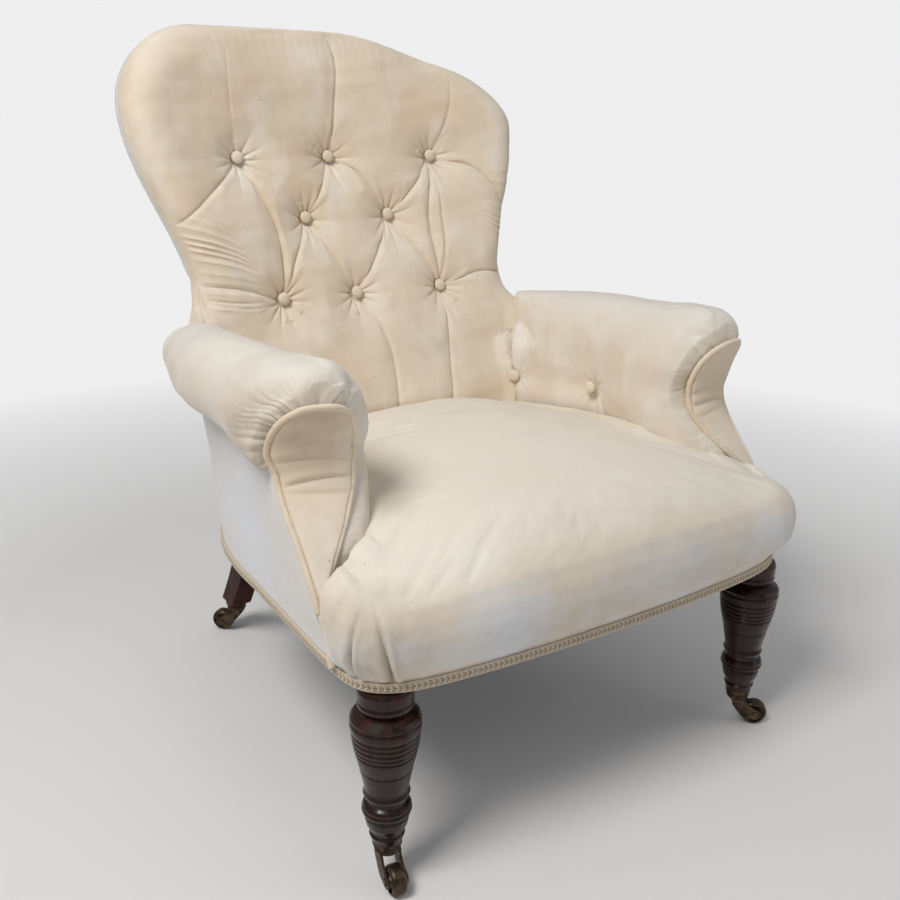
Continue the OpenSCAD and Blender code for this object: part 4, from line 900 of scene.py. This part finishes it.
def makeSeat():
    piece = evenCopy("seatPadding", "seat_cushion", seat["voxel"], thickened)
    points = pointsOf(piece)
    points = smoothed(piece, points, 20, mix(0.1, 1, ramp(points[:, 2] - seat["foot"], 6, 20)))
    putPoints(piece, points)
    x, y, z = points.T
    lift = ramp(np.abs(x), 190, 44) * ramp(y, 66, 50) * ramp(z, 312, 34)
    points[:, 2] += seat["besideArm"] * lift
    for _ in range(2):
        even, share = evenTop(points, normalsOf(piece))
        share *= ramp(np.abs(x), 110, 40) * ramp(y, -15, 40)
        share *= 1 - ramp(np.abs(x), 236, 10) * ramp(y, 86, -12)
        points[:, 2] = mix(points[:, 2], even, share)
        putPoints(piece, points)
    loose = ramp(points[:, 2], 300, 40) * ramp(points[:, 1], 330, -60)
    plumped(piece, loose, 4, 5)
    for _ in range(2):
        refined(piece, lambda p: sum(cornerFold(p, angle, lean)[1] for angle, lean, _ in cornerFolds) > 0.1)
    points = pointsOf(piece)
    normals = normalsOf(piece)
    x, y, z = points.T
    outward = smooth((normals[:, 0] * x / 290 + normals[:, 1] * (y - 120) / 160) / 0.5)
    fuller = seat["cornerFill"] * ramp(np.abs(x), 190, 90) * ramp(y, 40, -60)
    fuller *= ramp(z, 246, 30)
    fuller *= ramp(z, 400, -60) * np.where(x > 0, 1.0, seat["leftShare"])
    beside = ramp(np.abs(x), 280, 10) * ramp(y, 12, 10) * ramp(y, 60, -10)
    fuller += 4 * outward * beside * ramp(z, 246, 10)
    points = points + normals * fuller[:, None]
    for angle, lean, depth in cornerFolds:
        across, here = cornerFold(points, angle, lean)
        fold = 0.4 * depth * fade(across - 6, 4)
        fold += 0.25 * depth * fade(across + 8, 5)
        fold -= depth * fade(np.abs(across), 2.4, 1.3)
        points = points + normals * (fold * here * outward)[:, None]
    top = ramp(normals[:, 2], 0.3, 0.4) * ramp(z, 300, 30)
    points[:, 2] += top * (1.5 * ripple(points, 170, 11) + 0.3 * ripple(points, 40, 12))
    putPoints(piece, points)
    dress(piece, "chair", seatVelvet, ["seat_cushion"])
    return piece


print("seat padded:", len(makeSeat().data.vertices))

# Arms: facing, padding, piping and outside panel. Each crease of the facing has a height, a slope, a bend
# and a depth
arm = dict(besideFill=20, headFill=(12, 18), stripWidth=5.5, cornerPipe=3.9,
           creases=((452, 0.06, 2, 1.0), (433, 0.10, -3, 2.3), (411, -0.05, -2, 3.0), (398, 0.10, 1, 1.2)),
           facingY=111, waist=425, top=491, tip=297, middle=286, turn=0.2, facingDepth=8, headZ=440,
           rollX=286, rollZ=474, pipe=6.4, voxel=5.0)
innerEdge = [[297, 309], [321, 301], [345, 284], [370, 262], [400, 242], [440, 238]]
outerEdge = [[297, 312], [326, 315], [358, 315], [418, 316], [440, 325]]


# The facing bows forward at its waist and turns a little outward
def facingY(x, z):
    upper = arm["facingY"] - 32 * ((z - arm["waist"]) / (arm["top"] - arm["waist"])) ** 2
    fall = np.clip((arm["waist"] - z) / (arm["waist"] - arm["tip"]), 0, 1)
    lower = arm["facingY"] - 38 * (1 - np.cos(np.pi * fall))
    return arm["turn"] * (x - arm["middle"]) + np.where(z > arm["waist"], upper, lower)


def headHalf(z):
    return np.clip(1 - np.clip((z - arm["headZ"]) / (arm["top"] - arm["headZ"]), 0, 1) ** 2.5, 0, 1) ** 0.4


def facingIn(z):
    return np.where(z < arm["headZ"], table(z, innerEdge), arm["middle"] - 46 * headHalf(z))


def facingOut(z):
    return np.where(z < arm["headZ"], table(z, outerEdge), arm["middle"] + 39 * headHalf(z))


def mirrored(points, side):
    points = np.array(points, float)
    points[..., 0] *= side
    return points


def makeArmPad(name, side):
    piece = evenCopy("armPadding" + name.capitalize(), "arm_pad_" + name, arm["voxel"])
    points = smoothed(piece, pointsOf(piece), 26)
    putPoints(piece, points)
    tied = clustersOf("arm_buttons_" + name, 20)
    away = np.min([np.linalg.norm(points - c, axis=1) for c in tied], axis=0)
    behind = points[:, 1] - facingY(np.abs(points[:, 0]), points[:, 2])
    loose = ramp(away, 14, 40) * ramp(points[:, 2], 345, 50) * ramp(behind, 10, 30)
    plumped(piece, loose, 3, 4)
    subdivided(piece)
    refined(piece, lambda p: ((p[:, 2] > 396) & (p[:, 1] - facingY(np.abs(p[:, 0]), p[:, 2]) < 50))
            | (np.abs(p[:, 1] - np.abs(p[:, 0]) - 160 - 0.134 * p[:, 2]) < 24)
            | (np.min([np.linalg.norm(p - c, axis=1) for c in tied], axis=0) < 34))
    points = pointsOf(piece)
    normals = normalsOf(piece)
    x, z = np.abs(points[:, 0]), points[:, 2]
    behind = points[:, 1] - facingY(x, z) - arm["facingDepth"]
    turn = np.arctan2(z - arm["rollZ"], x - arm["rollX"])
    near = np.clip(behind, 0, 999)
    outward = ramp(x, arm["rollX"], 30)
    sharp = 1 - 2 * np.abs(np.sin(19 * turn + 1.3 * np.sin(5 * turn))) ** 0.7
    uneven = 0.8 + 0.4 * np.sin(11 * turn + 0.7)
    gathers = -sharp * uneven * (0.7 + 1.5 * outward) * np.exp(-near / (12 + 16 * outward))
    gathers += np.sin(9 * turn + 1.3) * 1.0 * np.exp(-near / 60)
    gathers *= ramp(z, 400, 40) * smooth(behind / 5)
    beside = arm["besideFill"] * ramp(x, arm["rollX"], -16) * ramp(z, 296, 20)
    head = mix(*arm["headFill"], ramp(x, arm["rollX"] + 12, -36))
    fullness = np.maximum(beside, head * ramp(z, 412, 22))
    fullness *= ramp(behind, -2, 12) * fade(near, 115)
    sideways = normals * [1, 0, 1]
    sideways /= np.maximum(0.3, np.linalg.norm(sideways, axis=1, keepdims=True))
    draw = np.zeros(len(points))
    for c in tied:
        r = np.linalg.norm(points - c, axis=1)
        fan = np.arctan2(z - c[2], points[:, 1] - c[1])
        folds = 1 - 2 * np.abs(np.sin(4.5 * fan + 0.6)) ** 0.6
        folds = 1.9 * folds * np.exp(-r / 24) * ramp(r, 7, 8)
        draw = np.maximum(draw, 9 * fade(r, 17, 1.3) + folds)
    inner = ramp(-normals[:, 0] * side, 0.1, 0.4)
    d = tied[-1] - tied[0]
    t = np.clip((points - tied[0]) @ d / d.dot(d), 0, 1)
    near = np.linalg.norm(points - tied[0] - t[:, None] * d, axis=1)
    draw = np.maximum(draw, 6.5 * fade(near, 3, 1.3) + 5 * fade(near, 17))
    front = tied[int(np.argmin([c[1] for c in tied]))]
    for lean in (-0.62, -0.2, 0.22):
        below = front[2] - z
        off = (points[:, 1] - front[1] - lean * below) * 0.9
        draw += 3.2 * fade(np.abs(off), 3.6, 1.4) * smooth(below / 12) * ramp(below, 75, -60)
    seam = ramp(points[:, 1] - x - 164 - 0.134 * z, -30, 24) * ramp(z, 506, -30)
    seam *= 4 + 3 * ramp(z, 372, 30) * ramp(z, 462, -30)
    move = seam + gathers - draw * inner + 1.0 * ripple(points, 110, 21 + side)
    move += 0.25 * ripple(points, 24, 31 + side)
    points = points + normals * move[:, None] + sideways * fullness[:, None]
    putPoints(piece, points)
    dress(piece, "chair", armVelvet, ["arm_pad_" + name])
    return piece


def makeFacing(name, side):
    rows, columns = 130, 30
    z = np.linspace(arm["tip"] + 1, arm["top"] - 3, rows)
    inner, outer = facingIn(z) + 2.6, facingOut(z) - 2.6
    middle = (inner + outer) / 2
    inner, outer = np.minimum(inner, middle - 0.4), np.maximum(outer, middle + 0.4)
    u = np.linspace(0, 1, columns)
    x = mix(inner[:, None], outer[:, None], u[None, :])
    zz = np.repeat(z[:, None], columns, 1)
    crown = np.sqrt(np.clip(1 - (2 * u - 1) ** 4, 0, 1))[None, :]
    crown = crown * ramp(z, arm["top"] - 3, -12)[:, None]
    creases = np.zeros_like(zz)
    for at, slope, bend, depth in arm["creases"]:
        off = zz - at - slope * (x - 280) - bend * ((x - 280) / 30) ** 2
        creases += depth * fade(np.abs(off), 2.6, 1.3) - 0.5 * depth * fade(off - 6, 5)
    y = facingY(x, zz) + 1.0 - 4.2 * crown + creases * crown
    front = np.stack([x, y, zz], -1)
    rear = np.stack([x, facingY(x, zz) + arm["facingDepth"], zz], -1)
    piece = panelPiece("armFacing" + name.capitalize(), mirrored(front, side), mirrored(rear, side))
    dress(piece, "chair", facingVelvet, ["arm_facing_" + name])
    return piece


def pipePoint(x, z):
    return np.stack([x, facingY(x, z) + arm["facingDepth"] - arm["pipe"] / 2 - 0.3, z], -1)


def makePiping(name, side):
    up = np.array([299, 312, 326, 342, 358, 374, 390, 406, 422, 438, 451, 463, 473, 481, 487.0])
    over = pipePoint(np.array([300.0, 286, 272]), np.array([490.0, 491, 490]))
    path = np.concatenate([pipePoint(facingOut(up), up), over, pipePoint(facingIn(up[:1:-1]), up[:1:-1])])
    path = curveThrough(mirrored(path, side), 2.2)
    wobble = np.random.default_rng(7 + side).uniform(-1, 1, len(path))
    shape = lambda i, turn: 1 + 0.035 * wobble[i] + 0.05 * math.sin(i * 1.9 + turn)
    piece = tubePiece("armPiping" + name.capitalize(), path, arm["pipe"] / 2 + 0.2, 14, shapeOf=shape)
    dress(piece, "chair", pipingVelvet, ["arm_piping_" + name])
    return piece


# The piping runs on below the facing's tip, down to the braid
def makeCornerSeam(name, side):
    stops = [(309.5, 47, 303), (309.5, 43, 297), (308, 38.5, 284), (306, 36, 262), (304.5, 35, 244)]
    path = curveThrough(mirrored(np.array(stops, float), side), 2.2)
    piece = tubePiece("cornerPiping" + name.capitalize(), path, arm["cornerPipe"], 16)
    dress(piece, "chair", pipingVelvet)
    return piece


# A strip of velvet sunk in the seam between arm and back
def makeSeamStrip(name, side):
    z = np.linspace(372, 486, 36)
    path = mirrored(np.stack([seamX(z) + 1.5, table(z, edgeLine) - 1.5, z], -1), side)
    piece = tubePiece("seamStrip" + name.capitalize(), curveThrough(path, 3.0), arm["stripWidth"], 12)
    dress(piece, "chair", velvet)
    return piece


panel = dict(top=424, rearRise=22, swell=6, rearSwell=7, braidTop=243.3, seam=37)
cover = dict(foot=232.3, top=852, inset=8, thickness=2.6, edge=5)


# The outside back's half width beside the posts, and above them
def coverSide(z):
    clear = body["cloth"] + 2 * body["gap"]
    return body["footX"] + body["postWidth"] + clear + (z - body["legFoot"]) * body["splay"]


def coverHalf(z):
    return mix(coverSide(z), backHalf(z) - cover["inset"], ramp(z, 500, 60))


def outlineY(x):
    return middleY + rearDepth * (1 - np.minimum(1, np.abs(x) * 2 / body["middleWidth"]) ** 2.4) ** (1 / 2.4)


# How far behind the leaning plane the rolled edge reaches, at a place within the outline
def rimRear(x, z):
    inward = np.clip(back["rim"] - edgeDistance(x, z), 0, back["rim"])
    return np.minimum(np.sqrt(back["rim"] ** 2 - inward ** 2), back["rim"] - 6)


def coverY(x, z):
    bulge = 18 * (1 - np.minimum(1, np.abs(x) / 230) ** 2) * (1 - ramp(z - cover["top"], -72, 72))
    leaning = leanAt(z) + 8.6 + body["postDepth"] + body["cloth"] + 4 + bulge
    low = mix(outlineY(x), leaning, ramp(z, 352, 60))
    clear = (leaning - bulge) * ramp(z, 300, 16)
    return np.maximum(np.maximum(low, clear), np.where(z > 400, leaning, 0))


# The outside arm: its front edge, how far it stands out, and its places from the front to the rear
def panelFrontY(z):
    h = np.maximum(z, arm["tip"])
    y = facingY(facingOut(h), h) + arm["facingDepth"] + 0.3
    return mix(panel["seam"] + 1, y, ramp(z, 262, arm["tip"] - 262)) - 2.5


def panelOut(z, t):
    rise = np.clip((z - panel["braidTop"] - 1) / (panel["top"] - panel["braidTop"]), 0, 1)
    h = np.maximum(z, arm["tip"])
    front = facingOut(h) + 1 - planHalf(panelFrontY(z))
    front = front * ramp(z, panel["braidTop"], arm["tip"] - panel["braidTop"])
    rear = panel["rearSwell"] * rise * ramp(t, 0.5, 0.35) * ramp(t, 1.02, -0.08)
    return mix(front, panel["swell"] * rise, smooth(t / 0.4)) + rear


def panelPoint(z, t, depth):
    front = -np.degrees(np.arctan2(middleY - panelFrontY(z), body["middleWidth"] / 2))
    rearX = coverHalf(z) - 4
    rear = np.degrees(np.arctan2(outlineY(rearX) - middleY, rearX))
    p = planInset(mix(front, rear, t), depth - panelOut(z, t))
    lag = np.maximum(0, coverY(coverHalf(z), z) - body["cloth"] - outlineY(coverHalf(z)) - 1)
    under = 2.2 * ramp(t, 0.955, 0.03)
    return np.stack([p[..., 0], p[..., 1] + lag * ramp(t, 0.55, 0.45) - under, z], -1)


def makeOutsideArm(name, side):
    z, t = np.meshgrid(np.linspace(232.3, panel["top"] + 5, 46), np.linspace(0, 1, 90), indexing="ij")
    raised = panel["rearRise"] * ramp(t, 0.5, 0.42)
    z = z + raised * ramp(z, 360, 69)
    tucked = 5 * ramp(z - raised - panel["top"], -3, 8)
    outer, inner = panelPoint(z, t, tucked), panelPoint(z, t, tucked + 2.6)
    middle = np.sin(np.pi * np.clip((z - 243) / 178, 0, 1)) * smooth(t / 0.08) * ramp(t, 1, -0.05)
    push = middle * (1.2 * ripple(outer.reshape(-1, 3), 130, 41 + side).reshape(z.shape) + 0.5)
    outer[..., 0] += push
    inner[..., 0] += push
    piece = panelPiece("outsideArm" + name.capitalize(), mirrored(outer, side), mirrored(inner, side))
    dress(piece, "chair", outsideVelvet, ["outside_arm_" + name])
    return piece


# Rows of the outside back: from one side's return, across the rear, to the other side's return
def coverRow(z, depth, across):
    half = coverHalf(z) - depth
    u = np.linspace(-1, 1, across)
    x = half * np.sin(u * np.pi / 2)
    h = z + crownedZ(x, z) - crownedZ(np.zeros(across), z)
    row = np.stack([x, coverY(x, h) - depth, h], -1)
    ends = []
    for k in (0, -1):
        x0, y0, z0 = row[k]
        padding = leanAt(z0) + mix(9, rimRear(x0, z), ramp(z, 478, 60)) - cover["edge"]
        y0 += depth
        front = mix(y0 - 9, min(y0 - 9, padding - 18), ramp(z, panel["top"], 12))
        share = np.linspace(0, 1, 9)[1:-1] if k else np.linspace(1, 0, 9)[1:-1]
        ends.append(np.stack([np.full(7, x0), mix(row[k][1], front, share), np.full(7, z0)], -1))
    return np.concatenate([ends[0], row, ends[1]])


def makeOutsideBack():
    rows = np.concatenate([np.linspace(cover["foot"], 480, 50), np.linspace(485, cover["top"], 76)])
    outer = [coverRow(z, 0.0, 84) for z in rows]
    inner = [coverRow(z, cover["thickness"], 84) for z in rows]
    for faces, drop in ((outer, 0), (inner, cover["thickness"])):
        edge = faces[-1]
        level = np.full(len(edge), float(cover["top"]))
        rise = np.clip(edgeDistance(edge[:, 0], level) - 5, 0, 10)
        front = leanAt(edge[:, 2]) + rimRear(edge[:, 0], level) - cover["edge"] - 22
        for share in np.linspace(0, 1, 8)[1:]:
            top = edge.copy()
            top[:, 1] = np.minimum(edge[:, 1], mix(edge[:, 1], front, share))
            top[:, 2] += rise * share - drop
            faces.append(top)
    piece = panelPiece("outsideBack", np.stack(outer), np.stack(inner))
    dress(piece, "chair", outsideVelvet, ["outside_back"])
    return piece


for name, side in sides.items():
    makeArmPad(name, side)
    makeFacing(name, side)
    makePiping(name, side)
    makeCornerSeam(name, side)
    makeSeamStrip(name, side)
    makeOutsideArm(name, side)
makeOutsideBack()
print("arms and outside covers made")

# Covered buttons: a domed disc with gathered edges
button = dict(radius=8.4, height=3.8, raised=1.5, sunk=1.5)


def makeButton(name, centre, way, replaces=()):
    rings = [(0.3, 0.96), (0.55, 0.86), (0.75, 0.68), (0.9, 0.42), (0.985, 0.12), (1.0, -0.2), (0.93, -0.55),
             (0.7, -0.9)]
    way = Vector(way).normalized()
    turn = Vector((0, 0, 1)).rotation_difference(way).to_matrix()
    points, around = [np.array([0, 0, button["height"]])], 36
    for share, rise in rings:
        for k in range(around):
            a = 2 * math.pi * k / around
            fold = 1 + 0.03 * share * math.sin(9 * a)
            edge = np.array([math.cos(a) * share * fold, math.sin(a) * share * fold, 0]) * button["radius"]
            points.append(edge + [0, 0, rise * button["height"]])
    faces = [(0, 1 + (k + 1) % around, 1 + k) for k in range(around)]
    faces += [tuple(1 + v for v in f) for f in gridFaces(len(rings), around, around=True)]
    last = 1 + (len(rings) - 1) * around
    faces.append(tuple(last + k for k in range(around)))
    turned = np.array([turn @ Vector(p) for p in points]) + centre
    piece = facedOutward(newPiece(name, turned, faces))
    dress(piece, "chair", velvet, replaces)
    return piece


leanWay = (0, -1, 0.29)          # the way that the back's buttons face
for k, centre in enumerate(backButtons):
    centre = centre + np.array([0, -0.96, 0.28]) * button["raised"]
    makeButton("backButton%d" % (k + 1), centre, leanWay, ["back_buttons"] if k == 0 else ())
for name, side in sides.items():
    found = sorted(clustersOf("arm_buttons_" + name, 20), key=lambda c: c[1])
    for k, centre in enumerate(found):
        way = np.array([-side, -0.12, 0.0]) if k == 0 else np.array([-side, -1, 0.0])
        centre = centre - way * button["sunk"] / np.linalg.norm(way)
        makeButton("armButton%s%d" % (name.capitalize(), k + 1), centre, way,
                   ["arm_buttons_" + name] if k == 0 else ())
print("buttons sewn on")

# Woven braid: two edge cords and slanting strands between them
braid = dict(foot=232.6, height=11, offset=1.4, pitch=3.0, cord=1.3)


def makeBraid():
    angles = np.linspace(-90, 270, 1441)[:-1]
    ring = planInset(angles, np.full(len(angles), -braid["offset"]))
    ring = np.concatenate([ring, ring[:1]])
    gone = np.concatenate([[0], np.cumsum(np.linalg.norm(np.diff(ring, axis=0), axis=1))])
    count = int(gone[-1] / braid["pitch"])
    at = np.linspace(0, gone[-1], count + 1)[:-1]
    x, y = np.interp(at, gone, ring[:, 0]), np.interp(at, gone, ring[:, 1])
    cords = []
    for k, height in enumerate((braid["cord"] + 0.2, braid["height"] - braid["cord"] - 0.2)):
        fine = np.linspace(0, gone[-1], count * 3 + 1)[:-1]
        path = np.stack([np.interp(fine, gone, ring[:, 0]), np.interp(fine, gone, ring[:, 1]),
                         np.full(len(fine), braid["foot"] + height)], -1)
        shape = lambda i, turn: 1 + 0.14 * math.sin(i * 2.094 + turn)
        cords.append(tubePiece("braidCord%d" % (k + 1), path, braid["cord"], 8, True, shape))
        dress(cords[-1], "chair", braidPale)
    for name, finish, start in (("braidPaleStrands", braidPale, 0), ("braidDarkStrands", braidDark, 1)):
        points, faces = [], []
        for i in range(start, count, 2):
            along = np.array([x[(i + 1) % count] - x[i], y[(i + 1) % count] - y[i], 0])
            along /= np.linalg.norm(along)
            out = np.array([along[1], -along[0], 0])
            for low, high in ((0.9, 5.6), (10.1, 5.4)):
                a = np.array([x[i], y[i], braid["foot"] + low]) + out * 0.2
                b = np.array([x[i], y[i], braid["foot"] + high]) + along * 4.4 + out * 0.9
                side = np.cross((b - a) / np.linalg.norm(b - a), out)
                base = len(points)
                for t, r in ((0, 0.5), (0.2, 1.25), (0.5, 1.5), (0.8, 1.25), (1, 0.5)):
                    for k in range(6):
                        turn = math.pi * k / 3
                        reach = math.cos(turn) * side + 0.8 * math.sin(turn) * out
                        points.append(mix(a, b, t) + r * reach)
                faces += gridFaces(5, 6, base, True)
                faces += [tuple(base + k for k in range(6))[::-1], tuple(base + 24 + k for k in range(6))]
        piece = facedOutward(newPiece(name, points, faces))
        dress(piece, "chair", finish, ["seat_braid"] if start == 0 else ())


makeBraid()
print("braid made")


# Cloth of the inside and underside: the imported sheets, welded, made finer and a little uneven
def clothCopy(name, node, finish, waves, cuts=2):
    piece = quartered(packedCopy(name, node), cuts)
    points = pointsOf(piece)
    points[:, 2] += waves * ripple(points * [1, 1, 0], 90, 51)
    putPoints(piece, points)
    return dress(piece, "chair", finish, [node])


hessian = clothCopy("springHessian", "spring_hessian", jute, 0.4)
dust = clothCopy("dustCover", "dust_cover", blackCloth, 0.15)
clothCopy("seatWebbing", "seat_webbing", strapJute, 0.1, 1)
clothCopy("backWebbing", "back_webbing", strapJute, 0.0, 1)
print("hidden cloth made")

# Finishes of the wood, metal and wire that the frame already holds
for nodeName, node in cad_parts.items():
    if "leg" in nodeName:
        finish = mahogany if "front" in nodeName else dullMahogany
    elif "castor" in nodeName:
        finish = bronze
    elif nodeName == "seat_springs":
        finish = wire
    else:
        finish = beech
    node.data.materials.clear()
    node.data.materials.append(finish)

# Camera, floor and lamps
shot = dict(place=(-0.68376, axisY / 1000 - 0.73346, 0.74811), azimuth=-33.819, pitch=18.294, roll=0.597,
            lens=39.713)


def aimCamera():
    a, p, r = (math.radians(shot[k]) for k in ("azimuth", "pitch", "roll"))
    ahead = Vector((-math.sin(a) * math.cos(p), math.cos(a) * math.cos(p), -math.sin(p)))
    level = Vector((math.cos(a), math.sin(a), 0))
    over = level.cross(ahead)
    right = level * math.cos(r) + over * math.sin(r)
    up = over * math.cos(r) - level * math.sin(r)
    lens = bpy.data.cameras.new("photoCamera")
    lens.lens = shot["lens"]
    lens.sensor_width = 36
    lens.clip_start = 0.05
    camera = bpy.data.objects.new("photoCamera", lens)
    turn = Matrix((right, up, -ahead)).transposed().to_4x4()
    camera.matrix_world = Matrix.Translation(shot["place"]) @ turn
    bpy.context.scene.collection.objects.link(camera)
    bpy.context.scene.camera = camera


backdrop = (0.86, 0.86, 0.86, 1)


def makeFloor():
    finish, tree, bsdf = shader("paleFloor")
    tone = noise(tree, placeOf(tree), 1.2, 2)
    colour = blendColour(tree, spread(tree, tone, 0.3, 0.7), (0.85, 0.84, 0.83, 1), (0.88, 0.87, 0.86, 1))
    tree.links.new(colour, bsdf.inputs["Base Color"])
    bsdf.inputs["Roughness"].default_value = 0.85
    away = add(tree, "ShaderNodeVectorMath", operation="LENGTH")
    tree.links.new(placeOf(tree), away.inputs[0])
    seen = add(tree, "ShaderNodeLightPath").outputs["Is Camera Ray"]
    share = sums(tree, spread(tree, away.outputs["Value"], 0.75, 1.9), seen)
    glow = add(tree, "ShaderNodeEmission", Color=backdrop)
    both = add(tree, "ShaderNodeMixShader")
    tree.links.new(share, both.inputs[0])
    tree.links.new(bsdf.outputs[0], both.inputs[1])
    tree.links.new(glow.outputs[0], both.inputs[2])
    tree.links.new(both.outputs[0], tree.nodes["Material Output"].inputs["Surface"])
    half = 30.0
    mesh = bpy.data.meshes.new("floor")
    corners = [(-half, -half, 0), (half, -half, 0), (half, half, 0), (-half, half, 0)]
    mesh.from_pydata(corners, [], [(0, 1, 2, 3)])
    mesh.materials.append(finish)
    floor = bpy.data.objects.new("floor", mesh)
    bpy.context.scene.collection.objects.link(floor)


def lamp(name, place, target, size, power, colour):
    light = bpy.data.lights.new(name, "AREA")
    light.size = size
    light.energy = power
    light.color = colour
    piece = bpy.data.objects.new(name, light)
    piece.location = place
    piece.rotation_mode = "QUATERNION"
    piece.rotation_quaternion = (Vector(target) - Vector(place)).to_track_quat("-Z", "Y")
    bpy.context.scene.collection.objects.link(piece)


aimCamera()
makeFloor()
lamp("windowLamp", (-1.6, -0.65, 2.5), (0, 0, 0.4), 1.0, 46, (1.0, 0.99, 0.97))
lamp("fillLamp", (2.0, -1.9, 1.6), (0, 0, 0.4), 2.0, 8, (1.0, 0.97, 0.93))


def makeWorld():
    world = bpy.data.worlds.new("studio")
    world.use_nodes = True
    tree = world.node_tree
    soft = tree.nodes["Background"]
    soft.inputs["Color"].default_value = (0.93, 0.94, 0.97, 1)
    soft.inputs["Strength"].default_value = 0.32
    plain = add(tree, "ShaderNodeBackground", Color=backdrop, Strength=1.0)
    both = add(tree, "ShaderNodeMixShader")
    tree.links.new(add(tree, "ShaderNodeLightPath").outputs["Is Camera Ray"], both.inputs[0])
    tree.links.new(soft.outputs[0], both.inputs[1])
    tree.links.new(plain.outputs[0], both.inputs[2])
    tree.links.new(both.outputs[0], tree.nodes["World Output"].inputs["Surface"])
    bpy.context.scene.world = world


makeWorld()
bpy.context.scene.view_settings.view_transform = "Standard"
print("camera and lamps set")
